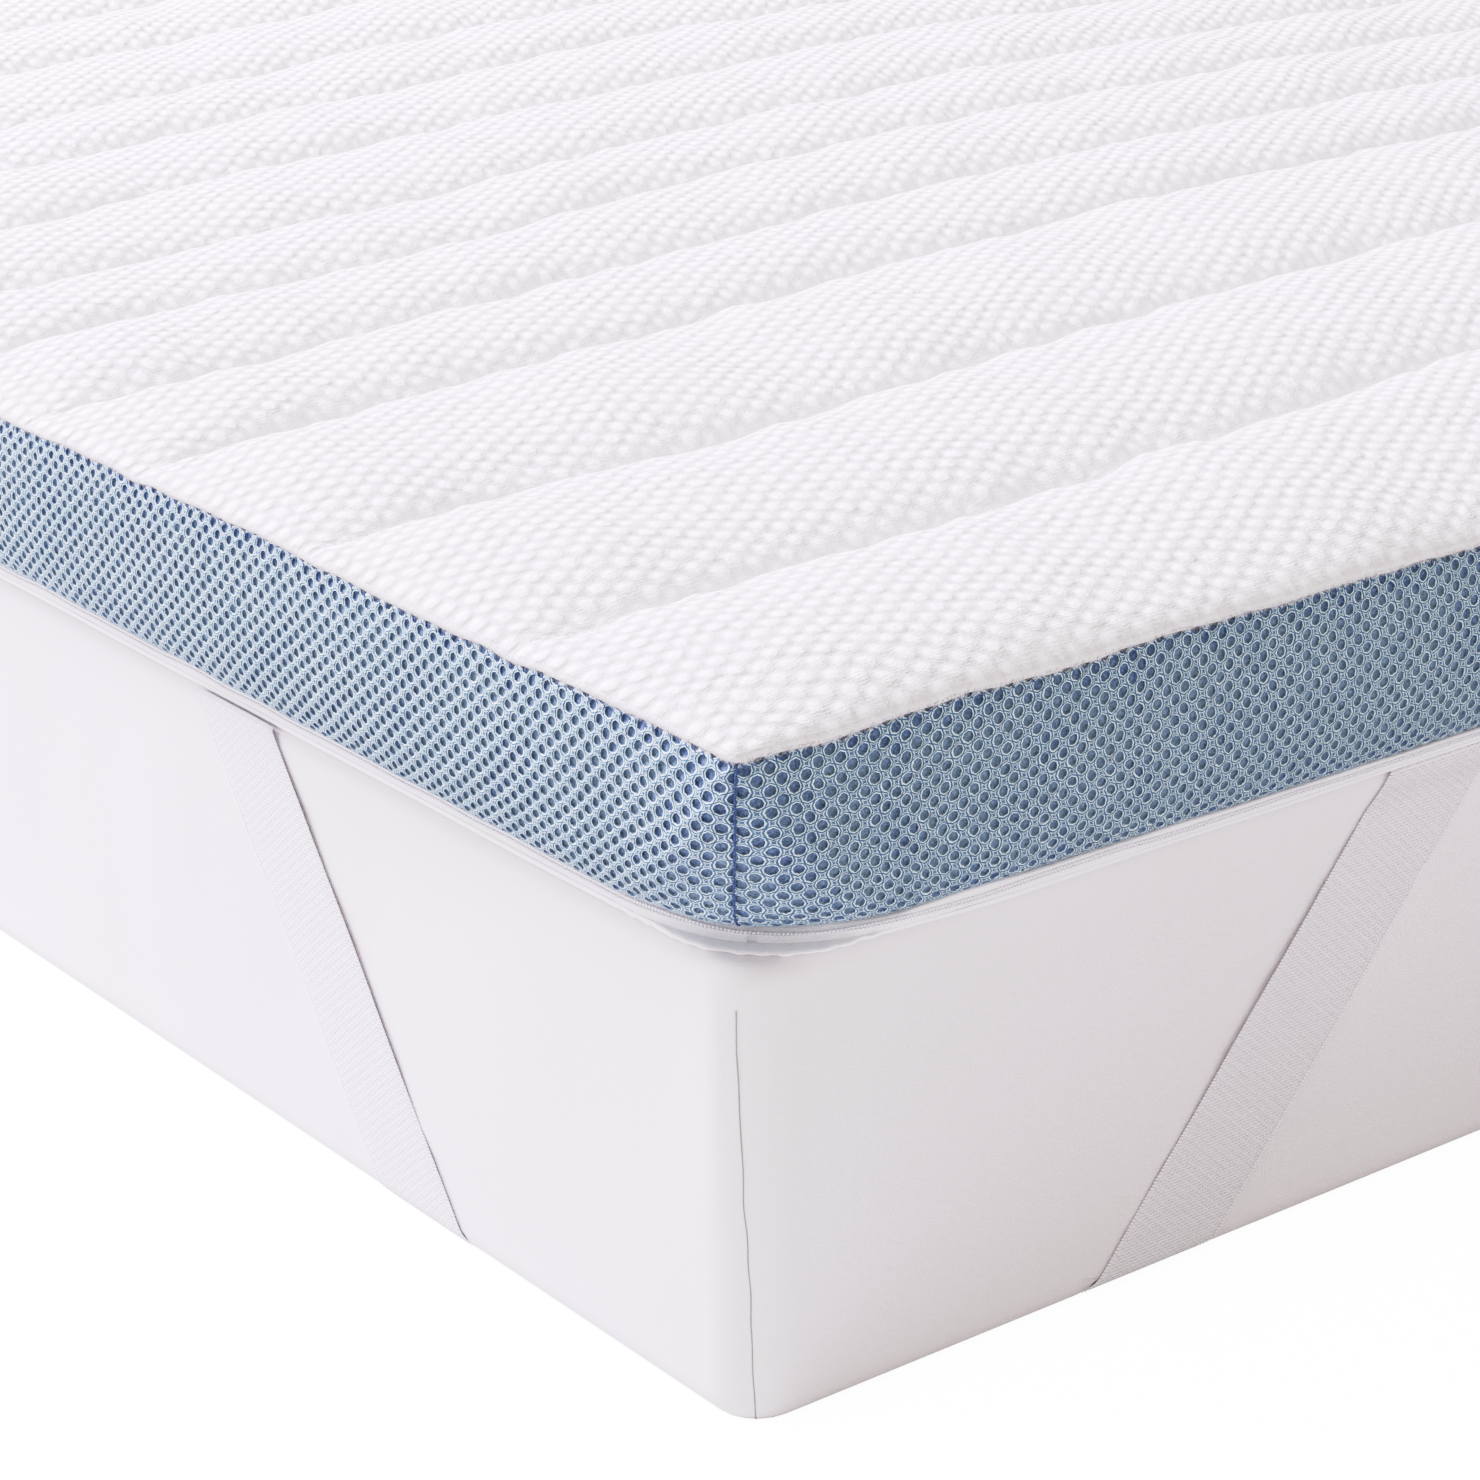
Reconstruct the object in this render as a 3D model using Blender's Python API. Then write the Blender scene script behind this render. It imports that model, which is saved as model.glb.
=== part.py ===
"""Quilted mattress topper on a plain mattress.

Metres, +Z up. The origin is at the middle of the footprint, on the surface
that the mattress stands on. X runs across the bed, Y along it, and the front
is the end at -Y. The quilting channels run across the bed.
"""
import math
from collections import namedtuple

import bmesh
import bpy

# ---------------------------------------------------------------- sizes
TOPPER_WIDTH = 1.400          # over the band's top edge, along X
TOPPER_LENGTH = 2.000         # over the band's top edge, along Y
CORNER_ZONE = 0.100           # length of side over which a corner turns
GAP = 0.0003                  # between pieces that touch

MATTRESS_INSET = 0.006        # mattress face inside the band's top edge
MATTRESS_HEIGHT = 0.197
MATTRESS_CORNER = 0.022       # plan radius of its upright corners
MATTRESS_TOP_ROUND = 0.008
MATTRESS_BOTTOM_ROUND = 0.008

TOP_EDGE = 0.0900             # where the knit meets the mesh band, over the mattress
BAND_THICKNESS = 0.003        # spacer mesh
PAD_CLEARANCE = 0.0015        # pad inside the band
CROWN_HEIGHT = 0.018          # middle of the pad above its edge
CROWN_REACH = 0.700           # distance from the long edge to the full crown
CROWN_REACH_END = 0.150       # the same from the short edge
CHANNEL_TAPER = 0.085         # length in which a channel's end closes

STRAP_THICKNESS = 0.0014
STRAP_STANDOFF = 0.0006       # elastic outside the mattress face
GROOVE_MARGIN = 0.0008        # room round the elastic in the underside

# Side band from its top edge down. lift: height over the mattress's top.
# out_end and out_side: how far its outer face stands outside the top edge on
# the short and the long sides. corner: plan radius there, sharp at the top and
# round at the bottom.
BandRow = namedtuple("BandRow", "lift out_end out_side corner")
BAND_PROFILE = [
    BandRow(0.0897, 0.0000, 0.0000, 0.0060),
    BandRow(0.0840, 0.0030, 0.0032, 0.0090),
    BandRow(0.0700, 0.0056, 0.0062, 0.0200),
    BandRow(0.0520, 0.0066, 0.0078, 0.0380),
    BandRow(0.0340, 0.0056, 0.0078, 0.0570),
    BandRow(0.0210, 0.0030, 0.0056, 0.0720),
    BandRow(0.0142, -0.0005, 0.0010, 0.0810),
    BandRow(0.0112, -0.0040, -0.0060, 0.0850),
]

# Flat rings under the band. low and high: over the mattress's top.
Ring = namedtuple("Ring", "low high out_end out_side corner thickness")
ZIP_TAPE = Ring(0.0021, 0.0108, -0.0040, -0.0100, 0.0840, 0.0012)
ZIP_COIL = Ring(0.0045, 0.0090, -0.0021, -0.0081, 0.0856, 0.0016)
BASE_PANEL = Ring(0.0003, 0.0018, -0.0045, -0.0105, 0.0620, None)
PAD_FOOT = Ring(0.0021, 0.0130, -0.0064, -0.0125, 0.0790, None)

# Quilting channels from the front end to the back end. width: along Y at the
# left edge. lean: how far the channel's back seam has moved towards +Y at the
# right edge. rise: height of the puff over its seams.
Channel = namedtuple("Channel", "width lean rise")
CHANNELS = [
    Channel(0.1425, 0.012, 0.0115),
    Channel(0.1475, 0.022, 0.0120),
    Channel(0.1460, 0.028, 0.0115),
    Channel(0.0980, 0.022, 0.0095),
    Channel(0.0985, 0.028, 0.0095),
    Channel(0.0875, 0.026, 0.0085),
    Channel(0.1090, 0.024, 0.0095),
    Channel(0.1000, 0.020, 0.0090),
    Channel(0.0910, 0.014, 0.0090),
    Channel(0.1140, 0.006, 0.0095),
    Channel(0.1030, 0.000, 0.0090),
    Channel(0.1000, 0.000, 0.0090),
    Channel(0.1040, 0.000, 0.0095),
    Channel(0.1050, 0.000, 0.0090),
    Channel(0.1520, 0.000, 0.0115),
    Channel(0.1500, 0.000, 0.0115),
    Channel(0.1520, 0.000, 0.0115),
]

# Corner strap: where its middle line crosses the mattress's bottom edge,
# measured from the corner, how far it moves away from the corner for each
# metre up the face, and its half width along that edge.
Leg = namedtuple("Leg", "start slope half_width")
END_LEG = Leg(0.2095, 0.845, 0.0330)
SIDE_LEG = Leg(0.2250, 0.707, 0.0320)

HALF_X = TOPPER_WIDTH / 2
HALF_Y = TOPPER_LENGTH / 2

# ---------------------------------------------------------------- scene
for old in list(bpy.data.objects):
    bpy.data.objects.remove(old, do_unlink=True)


def new_collection(name):
    coll = bpy.data.collections.new(name)
    bpy.context.scene.collection.children.link(coll)
    return coll


TOPPER = new_collection("mattress_topper")
CUTTERS = new_collection("cutters")


def material(name, color, roughness):
    mat = bpy.data.materials.new(name)
    mat.use_nodes = True
    shader = mat.node_tree.nodes["Principled BSDF"]
    shader.inputs["Base Color"].default_value = (*color, 1.0)
    shader.inputs["Roughness"].default_value = roughness
    shader.inputs["Metallic"].default_value = 0.0
    return mat


KNIT = material("white_knit", (0.90, 0.90, 0.89), 0.95)
MESH = material("blue_mesh", (0.26, 0.42, 0.60), 0.85)
TAPE = material("white_tape", (0.86, 0.86, 0.88), 0.80)
COIL = material("white_coil", (0.88, 0.88, 0.90), 0.45)
PANEL = material("white_panel", (0.86, 0.86, 0.85), 0.90)
ELASTIC = material("white_elastic", (0.84, 0.84, 0.86), 0.85)
TICKING = material("white_ticking", (0.84, 0.83, 0.85), 0.92)


def add_object(name, bm, mat, collection=TOPPER, smooth_angle=35):
    """One closed body from a bmesh, with its faces turned outwards."""
    bmesh.ops.recalc_face_normals(bm, faces=bm.faces)
    mesh = bpy.data.meshes.new(name)
    bm.to_mesh(mesh)
    bm.free()
    mesh.materials.append(mat)
    mesh.shade_smooth()
    mesh.set_sharp_from_angle(angle=math.radians(smooth_angle))
    obj = bpy.data.objects.new(name, mesh)
    collection.objects.link(obj)
    return obj


# ---------------------------------------------------------------- outlines
def ring_point(side, along, half_x, half_y, radius):
    """Point on a rectangle with round corners.

    along runs on the topper's own side from its first corner. Within the
    corner zone the point is moved onto the arc, so that rows with unlike
    corner radii can be joined point by point. Sides: 0 front, 1 right,
    2 back, 3 left, anticlockwise from above.
    """
    length = TOPPER_WIDTH if side % 2 == 0 else TOPPER_LENGTH
    half_along, half_across = (half_x, half_y) if side % 2 == 0 else (half_y, half_x)
    mirrored = along > length / 2
    d = length - along if mirrored else along
    arc = radius * math.pi / 4
    across = -half_across
    if d < CORNER_ZONE:
        run = d / CORNER_ZONE * (arc + CORNER_ZONE - radius)
        if run < arc:
            angle = math.pi / 4 - run / radius
            x = -half_along + radius - radius * math.sin(angle)
            across = -half_across + radius - radius * math.cos(angle)
        else:
            x = -half_along + radius + run - arc
    else:
        share = (d - CORNER_ZONE) / (length / 2 - CORNER_ZONE)
        x = (-half_along + CORNER_ZONE) * (1 - share)
    if mirrored:
        x = -x
    y = across
    for _ in range(side):
        x, y = -y, x
    return x, y


CORNER_STEPS = [0.0, 0.136, 0.272, 0.408, 0.544, 0.680, 0.816, 1.0]


def side_stations(side, inset=0.0):
    """Distances along a side, close together where its corners turn."""
    length = TOPPER_WIDTH if side % 2 == 0 else TOPPER_LENGTH
    near = [max(step * CORNER_ZONE, inset) for step in CORNER_STEPS]
    return near + [length / 2] + [length - d for d in reversed(near)]


def ring_stations():
    """Stations of a whole ring, each corner counted once."""
    return [(side, d) for side in range(4) for d in side_stations(side)[:-1]]


def ring_row(stations, lift, out_end, out_side, corner):
    return [(*ring_point(side, d, HALF_X + out_side, HALF_Y + out_end, corner),
             MATTRESS_HEIGHT + lift) for side, d in stations]


def inset_profile(rows, distance):
    """The band's profile moved inwards, square to its curve."""
    moved = []
    for k, row in enumerate(rows):
        above, below = rows[max(k - 1, 0)], rows[min(k + 1, len(rows) - 1)]
        drop = above.lift - below.lift
        d_out = (above.out_end + above.out_side - below.out_end - below.out_side) / 2
        size = math.hypot(drop, d_out)
        out, up = drop / size, -d_out / size
        moved.append(BandRow(row.lift - distance * up, row.out_end - distance * out,
                             row.out_side - distance * out,
                             row.corner - distance * out))
    return moved


def bridge(bm, first, second, closed):
    count = len(first)
    for k in range(count if closed else count - 1):
        n = (k + 1) % count
        bm.faces.new((first[k], first[n], second[n], second[k]))


# ---------------------------------------------------------------- mattress
def build_mattress():
    """Plain rounded box."""
    bm = bmesh.new()
    bmesh.ops.create_cube(bm, size=1.0)
    size_x = TOPPER_WIDTH - 2 * MATTRESS_INSET
    size_y = TOPPER_LENGTH - 2 * MATTRESS_INSET
    bmesh.ops.scale(bm, vec=(size_x, size_y, MATTRESS_HEIGHT), verts=bm.verts)
    bmesh.ops.translate(bm, vec=(0, 0, MATTRESS_HEIGHT / 2), verts=bm.verts)
    upright = [e for e in bm.edges if abs(e.verts[0].co.z - e.verts[1].co.z) > 0.1]
    bmesh.ops.bevel(bm, geom=upright, offset=MATTRESS_CORNER, segments=5,
                    profile=0.5, affect="EDGES")
    for level, radius in ((MATTRESS_HEIGHT, MATTRESS_TOP_ROUND),
                          (0.0, MATTRESS_BOTTOM_ROUND)):
        rim = [e for e in bm.edges
               if all(abs(v.co.z - level) < 1e-6 for v in e.verts)]
        bmesh.ops.bevel(bm, geom=rim, offset=radius, segments=3,
                        profile=0.5, affect="EDGES")
    return add_object("mattress", bm, TICKING)


# ---------------------------------------------------------------- straps
FACE_X = HALF_X - MATTRESS_INSET
FACE_Y = HALF_Y - MATTRESS_INSET
BEND_RADIUS = MATTRESS_BOTTOM_ROUND          # inner face of the elastic
BEND_Z = GAP + STRAP_THICKNESS + BEND_RADIUS
SHOULDER_Z = MATTRESS_HEIGHT - MATTRESS_TOP_ROUND
TUCK_ANGLE = math.radians(45)                # how far it wraps under the topper


def leg_profile(low_only, inner_shift, outer_shift):
    """Rows up one face: (height along the cloth, depth and z of both skins).

    Depth is measured outwards from the mattress face.
    """
    rows = []
    inner = BEND_RADIUS + inner_shift
    outer = BEND_RADIUS + STRAP_THICKNESS + outer_shift
    centre = STRAP_STANDOFF - BEND_RADIUS
    steps = 5
    for k in range(steps + 1):
        turn = math.pi / 2 * (1 - k / steps)
        c, s = math.cos(turn), math.sin(turn)
        rows.append((BEND_Z - BEND_RADIUS * turn,
                     centre + inner * c, BEND_Z - inner * s,
                     centre + outer * c, BEND_Z - outer * s))
    face_in, face_out = centre + inner, centre + outer
    if low_only:
        rows.append((0.030, face_in, 0.030, face_out, 0.030))
        return rows
    for z in (0.070, 0.120, SHOULDER_Z):
        rows.append((z, face_in, z, face_out, z))
    inner = MATTRESS_TOP_ROUND + STRAP_STANDOFF
    for k in range(1, 5):
        turn = TUCK_ANGLE * k / 4
        c, s = math.cos(turn), math.sin(turn)
        outer = inner + STRAP_THICKNESS
        rows.append((SHOULDER_Z + MATTRESS_TOP_ROUND * turn,
                     inner * c - MATTRESS_TOP_ROUND, SHOULDER_Z + inner * s,
                     outer * c - MATTRESS_TOP_ROUND, SHOULDER_Z + outer * s))
    return rows


def strap_body(sign_x, sign_y, low_only=False, inner_shift=0.0, outer_shift=0.0,
               margin=0.0):
    """Flat band down the end face, under the corner and up the side face."""
    sections = []
    end_rows = leg_profile(low_only, inner_shift, outer_shift)
    for height, in_out, in_z, out_out, out_z in reversed(end_rows):
        middle = END_LEG.start + END_LEG.slope * height
        half = END_LEG.half_width + margin
        near, far = middle - half, middle + half
        sections.append([(-FACE_X + near, -FACE_Y - in_out, in_z),
                         (-FACE_X + far, -FACE_Y - in_out, in_z),
                         (-FACE_X + far, -FACE_Y - out_out, out_z),
                         (-FACE_X + near, -FACE_Y - out_out, out_z)])
    for height, in_out, in_z, out_out, out_z in end_rows:
        middle = SIDE_LEG.start + SIDE_LEG.slope * height
        half = SIDE_LEG.half_width + margin
        near, far = middle - half, middle + half
        sections.append([(-FACE_X - in_out, -FACE_Y + near, in_z),
                         (-FACE_X - in_out, -FACE_Y + far, in_z),
                         (-FACE_X - out_out, -FACE_Y + far, out_z),
                         (-FACE_X - out_out, -FACE_Y + near, out_z)])
    bm = bmesh.new()
    rings = [[bm.verts.new((x * -sign_x, y * -sign_y, z)) for x, y, z in section]
             for section in sections]
    for first, second in zip(rings, rings[1:]):
        bridge(bm, first, second, closed=True)
    bm.faces.new(rings[0])
    bm.faces.new(rings[-1])
    return bm


CORNERS = {"front_left": (-1, -1), "front_right": (1, -1),
           "back_left": (-1, 1), "back_right": (1, 1)}


def build_straps(mattress):
    for name, (sign_x, sign_y) in CORNERS.items():
        add_object("strap_" + name, strap_body(sign_x, sign_y), ELASTIC)
        cutter = add_object("groove_" + name,
                            strap_body(sign_x, sign_y, low_only=True,
                                       inner_shift=-0.0004, outer_shift=0.004,
                                       margin=GROOVE_MARGIN),
                            ELASTIC, collection=CUTTERS)
        cutter.hide_render = True
        cutter.display_type = "WIRE"
        cut = mattress.modifiers.new("groove_" + name, "BOOLEAN")
        cut.operation = "DIFFERENCE"
        cut.solver = "EXACT"
        cut.object = cutter


# ---------------------------------------------------------------- band
def build_band(side, name):
    """One strip of spacer mesh, from corner seam to corner seam."""
    inner_rows = inset_profile(BAND_PROFILE, BAND_THICKNESS)
    stations = [(side, d) for d in side_stations(side, inset=0.0002)]
    last = len(stations) - 1
    length = TOPPER_WIDTH if side % 2 == 0 else TOPPER_LENGTH
    stations[last] = (side, length - 0.0002)
    loop = list(BAND_PROFILE) + list(reversed(inner_rows))
    bm = bmesh.new()
    rows = [[bm.verts.new(p) for p in
             ring_row(stations, row.lift, row.out_end, row.out_side, row.corner)]
            for row in loop]
    for first, second in zip(rows, rows[1:] + rows[:1]):
        bridge(bm, first, second, closed=False)
    half = len(BAND_PROFILE)
    for end in (0, last):
        for k in range(half - 1):
            outer, inner = rows[k], rows[-1 - k]
            outer_next, inner_next = rows[k + 1], rows[-2 - k]
            bm.faces.new((outer[end], outer_next[end], inner_next[end], inner[end]))
    return add_object(name, bm, MESH)


# ---------------------------------------------------------------- zip, panel
def build_ring(name, ring, mat):
    """Upright flat tape all the way round."""
    stations = ring_stations()
    bm = bmesh.new()
    loops = []
    for lift, shift in ((ring.low, 0.0), (ring.high, 0.0),
                     (ring.high, ring.thickness), (ring.low, ring.thickness)):
        loops.append([bm.verts.new(p) for p in
                      ring_row(stations, lift, ring.out_end - shift,
                               ring.out_side - shift, ring.corner - shift)])
    for first, second in zip(loops, loops[1:] + loops[:1]):
        bridge(bm, first, second, closed=True)
    return add_object(name, bm, mat)


def build_base_panel():
    bm = bmesh.new()
    outline = [bm.verts.new(p) for p in
               ring_row(ring_stations(), BASE_PANEL.low, BASE_PANEL.out_end,
                        BASE_PANEL.out_side, BASE_PANEL.corner)]
    face = bm.faces.new(outline)
    lifted = bmesh.ops.extrude_face_region(bm, geom=[face])
    top = [v for v in lifted["geom"] if isinstance(v, bmesh.types.BMVert)]
    bmesh.ops.translate(bm, vec=(0, 0, BASE_PANEL.high - BASE_PANEL.low), verts=top)
    return add_object("base_panel", bm, PANEL)


# ---------------------------------------------------------------- pad
def smoothstep(t):
    t = min(max(t, 0.0), 1.0)
    return t * t * (3 - 2 * t)


def seams():
    """Quilting seams: y at the left edge and lean, the two ends included."""
    y, lines = -HALF_Y, [(-HALF_Y, 0.0)]
    for channel in CHANNELS:
        y += channel.width
        lines.append((y, channel.lean))
    return lines


def channel_rows():
    """Rows across the pad: (y at the left edge, lean, puff height there)."""
    lines = seams()
    rows = []
    last = len(CHANNELS) - 1
    for k, channel in enumerate(CHANNELS):
        (y0, lean0), (y1, lean1) = lines[k], lines[k + 1]
        if k == 0:
            steps = [d / channel.width for d in (0.0, 0.0272, 0.0544, 0.0816, 0.118)]
        elif k == last:
            steps = [0.0] + [1 - d / channel.width
                             for d in (0.110, 0.0816, 0.0544, 0.0272)]
        else:
            steps = [0.0, 0.16, 0.5, 0.84]
        for t in steps:
            puff = channel.rise * (1 - abs(2 * t - 1) ** 2.3)
            rows.append((y0 + (y1 - y0) * t, lean0 + (lean1 - lean0) * t, puff))
    rows.append((HALF_Y, 0.0, 0.0))
    return rows


EDGE_STEPS = [0.0, 0.0272, 0.0544, 0.0816, 0.140, 0.240, 0.420]


def column_positions():
    near = [-HALF_X + d for d in EDGE_STEPS]
    return near + [0.0] + [-x for x in reversed(near)]


def pad_height(x, y, puff):
    """Top of the pad: slow crown, channel puff, closed ends."""
    edge_x = HALF_X - abs(x)
    edge_y = HALF_Y - abs(y)
    crown = (CROWN_HEIGHT * smoothstep(edge_x / CROWN_REACH)
             * smoothstep(edge_y / CROWN_REACH_END))
    end = 1 - (1 - min(edge_x / CHANNEL_TAPER, 1.0)) ** 2.2
    return MATTRESS_HEIGHT + TOP_EDGE + 0.0008 + crown + puff * end


def build_pad():
    rows = channel_rows()
    columns = column_positions()
    bm = bmesh.new()
    # quilted top, with its rim on the band's top edge
    grid = []
    for j, (y_left, lean, puff) in enumerate(rows):
        line = []
        for i, x in enumerate(columns):
            y = y_left + lean * (x + HALF_X) / TOPPER_WIDTH
            rim = i in (0, len(columns) - 1) or j in (0, len(rows) - 1)
            line.append(None if rim else
                        bm.verts.new((x, y, pad_height(x, y, puff))))
        grid.append(line)
    n_rows, n_cols = len(rows), len(columns)
    around = ([(0, i) for i in range(n_cols - 1)]
              + [(j, n_cols - 1) for j in range(n_rows - 1)]
              + [(n_rows - 1, i) for i in range(n_cols - 1, 0, -1)]
              + [(j, 0) for j in range(n_rows - 1, 0, -1)])

    def station(j, i):
        y_left, lean, _ = rows[j]
        x = columns[i]
        y = y_left + lean * (x + HALF_X) / TOPPER_WIDTH
        if j == 0 and i < n_cols - 1:
            return 0, x + HALF_X
        if i == n_cols - 1 and j < n_rows - 1:
            return 1, y + HALF_Y
        if j == n_rows - 1 and i > 0:
            return 2, HALF_X - x
        return 3, HALF_Y - y

    stations = [station(j, i) for j, i in around]
    wall = inset_profile(BAND_PROFILE, BAND_THICKNESS + PAD_CLEARANCE)
    levels = [BandRow(TOP_EDGE + GAP, -0.0004, -0.0004, 0.0056),
              BandRow(TOP_EDGE, -BAND_THICKNESS - PAD_CLEARANCE,
                      -BAND_THICKNESS - PAD_CLEARANCE, 0.0030)]
    levels += wall[1::2]
    for lift in (PAD_FOOT.high, PAD_FOOT.low):
        levels.append(BandRow(lift, PAD_FOOT.out_end, PAD_FOOT.out_side, PAD_FOOT.corner))
    loops = [[bm.verts.new(p) for p in
              ring_row(stations, row.lift, row.out_end, row.out_side,
                       max(row.corner, 0.0015))]
             for row in levels]
    for (j, i), vert in zip(around, loops[0]):
        grid[j][i] = vert
    for j in range(n_rows - 1):
        bridge(bm, grid[j], grid[j + 1], closed=False)
    for first, second in zip(loops, loops[1:]):
        bridge(bm, first, second, closed=True)
    bm.faces.new(loops[-1])
    return add_object("quilted_pad", bm, KNIT, smooth_angle=60)


mattress_object = build_mattress()
build_straps(mattress_object)
for side_index, band_name in enumerate(("band_front", "band_right",
                                        "band_back", "band_left")):
    build_band(side_index, band_name)
build_ring("zip_tape", ZIP_TAPE, TAPE)
build_ring("zip_coil", ZIP_COIL, COIL)
build_base_panel()
build_pad()
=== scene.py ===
"""Quilted mattress topper on a plain mattress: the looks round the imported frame.

Metres, +Z up, the same frame as the CAD. The front is the end at -Y, the left
is the long side at -X. The sizes below repeat the part's own.
"""
import math

import bmesh
import bpy
import numpy as np
from mathutils import Matrix, Vector


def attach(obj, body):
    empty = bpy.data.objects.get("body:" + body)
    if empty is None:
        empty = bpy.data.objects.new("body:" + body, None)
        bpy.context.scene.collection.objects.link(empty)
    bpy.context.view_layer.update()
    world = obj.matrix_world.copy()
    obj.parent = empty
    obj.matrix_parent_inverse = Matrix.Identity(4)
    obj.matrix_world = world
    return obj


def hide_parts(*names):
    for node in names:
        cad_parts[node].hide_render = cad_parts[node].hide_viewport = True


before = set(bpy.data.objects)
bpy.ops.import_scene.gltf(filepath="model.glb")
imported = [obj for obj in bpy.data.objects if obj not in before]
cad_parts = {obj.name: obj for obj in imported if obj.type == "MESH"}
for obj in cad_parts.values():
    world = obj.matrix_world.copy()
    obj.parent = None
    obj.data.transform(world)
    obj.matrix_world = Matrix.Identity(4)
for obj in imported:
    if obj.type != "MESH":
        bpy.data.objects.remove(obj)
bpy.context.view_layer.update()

# ---------------------------------------------------------------- sizes
TOPPER_WIDTH, TOPPER_LENGTH = 1.400, 2.000
HALF_X, HALF_Y = TOPPER_WIDTH / 2, TOPPER_LENGTH / 2
CORNER_ZONE = 0.100
MATTRESS_INSET, MATTRESS_HEIGHT = 0.006, 0.197
MATTRESS_CORNER, MATTRESS_TOP_ROUND, MATTRESS_BOTTOM_ROUND = 0.022, 0.008, 0.008
FACE_X, FACE_Y = HALF_X - MATTRESS_INSET, HALF_Y - MATTRESS_INSET
TOP_EDGE = 0.0900
BAND_THICKNESS = 0.003
CROWN_HEIGHT, CROWN_REACH, CROWN_REACH_END = 0.018, 0.700, 0.150
CHANNEL_TAPER = 0.085
STRAP_THICKNESS, STRAP_STANDOFF = 0.0014, 0.0006

# Side band from its top edge down: height over the mattress's top, how far it
# stands outside the top edge on the short and the long sides, corner radius.
BAND_PROFILE = np.array([
    (0.0897, 0.0000, 0.0000, 0.0060),
    (0.0840, 0.0030, 0.0032, 0.0090),
    (0.0700, 0.0056, 0.0062, 0.0200),
    (0.0520, 0.0066, 0.0078, 0.0380),
    (0.0340, 0.0056, 0.0078, 0.0570),
    (0.0210, 0.0030, 0.0056, 0.0720),
    (0.0142, -0.0005, 0.0020, 0.0810),
    (0.0112, -0.0040, -0.0040, 0.0850),
])
ZIP_OUT_END, ZIP_OUT_SIDE, ZIP_CORNER = -0.0040, -0.0072, 0.0840
ZIP_FLARE = 1.6                # how much tighter its corner gets per metre down
COIL_OUT_END, COIL_OUT_SIDE = -0.0021, -0.0053
PANEL_OUT_END, PANEL_OUT_SIDE, PANEL_CORNER = -0.0045, -0.0077, 0.0500
FOOT_OUT_END, FOOT_OUT_SIDE, FOOT_CORNER = -0.0064, -0.0125, 0.0790

# Quilting channels from the front end: width at the left edge, lean, rise.
CHANNELS = [
    (0.1425, 0.012, 0.0115), (0.1475, 0.022, 0.0120), (0.1460, 0.028, 0.0115),
    (0.0980, 0.022, 0.0095), (0.0985, 0.028, 0.0095), (0.0875, 0.026, 0.0085),
    (0.1090, 0.024, 0.0095), (0.1000, 0.020, 0.0090), (0.0910, 0.014, 0.0090),
    (0.1140, 0.006, 0.0095), (0.1030, 0.000, 0.0090), (0.1000, 0.000, 0.0090),
    (0.1040, 0.000, 0.0095), (0.1050, 0.000, 0.0090), (0.1520, 0.000, 0.0115),
    (0.1500, 0.000, 0.0115), (0.1520, 0.000, 0.0115),
]

# Corner strap legs: where the middle line crosses the bottom edge, measured
# from the corner, how far it moves away for each metre up, half width.
END_LEG = (0.2095, 0.845, 0.0330)
SIDE_LEG = (0.2250, 0.707, 0.0320)

# Mesh of the side band.
HOLE_PITCH = 0.0094           # along the band, in one row
HOLE_ROW = 0.00200            # half the step from one staggered row to the next
CORNER_STRETCH = 0.0190       # how much further the mesh is drawn out at a corner
HOLE_LONG, HOLE_HIGH = 1.00, 1.16     # half sizes, in quarter pitches and half rows
PIT_DEPTH = 0.0014

# Bubbles of the knit.
BUBBLE_X, BUBBLE_Y = 0.0173, 0.0110

TOOTH_PITCH = 0.0016
FIBRE_PITCH = 0.00095
EDGE_STITCH = 0.0052
PICOT_PITCH = 0.0015


# ---------------------------------------------------------------- helpers
class Waves:
    """Smooth noise made of a few seeded sine waves, in two coordinates."""

    def __init__(self, seed, shortest, longest, count=10, squash=(1.0, 1.0)):
        rng = np.random.default_rng(seed)
        size = np.exp(rng.uniform(math.log(shortest), math.log(longest), count))
        turn = rng.uniform(0, 2 * math.pi, count)
        self.kx = 2 * math.pi / size * np.cos(turn) / squash[0]
        self.ky = 2 * math.pi / size * np.sin(turn) / squash[1]
        self.phase = rng.uniform(0, 2 * math.pi, count)
        self.scale = 1.0 / math.sqrt(count / 2)

    def __call__(self, x, y=0.0):
        x, y = np.asarray(x, float), np.asarray(y, float)
        total = 0.0
        for kx, ky, phase in zip(self.kx, self.ky, self.phase):
            total = total + np.sin(kx * x + ky * y + phase)
        return total * self.scale


class Line:
    """Smooth noise along one line."""

    def __init__(self, seed, shortest, longest, count=7):
        rng = np.random.default_rng(seed)
        self.k = 2 * math.pi / np.exp(
            rng.uniform(math.log(shortest), math.log(longest), count))
        self.phase = rng.uniform(0, 2 * math.pi, count)
        self.scale = 1.0 / math.sqrt(count / 2)

    def __call__(self, x):
        x = np.asarray(x, float)
        return sum(np.sin(k * x + p) for k, p in zip(self.k, self.phase)) * self.scale


def smoothstep(t):
    t = np.clip(t, 0.0, 1.0)
    return t * t * (3 - 2 * t)


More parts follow.
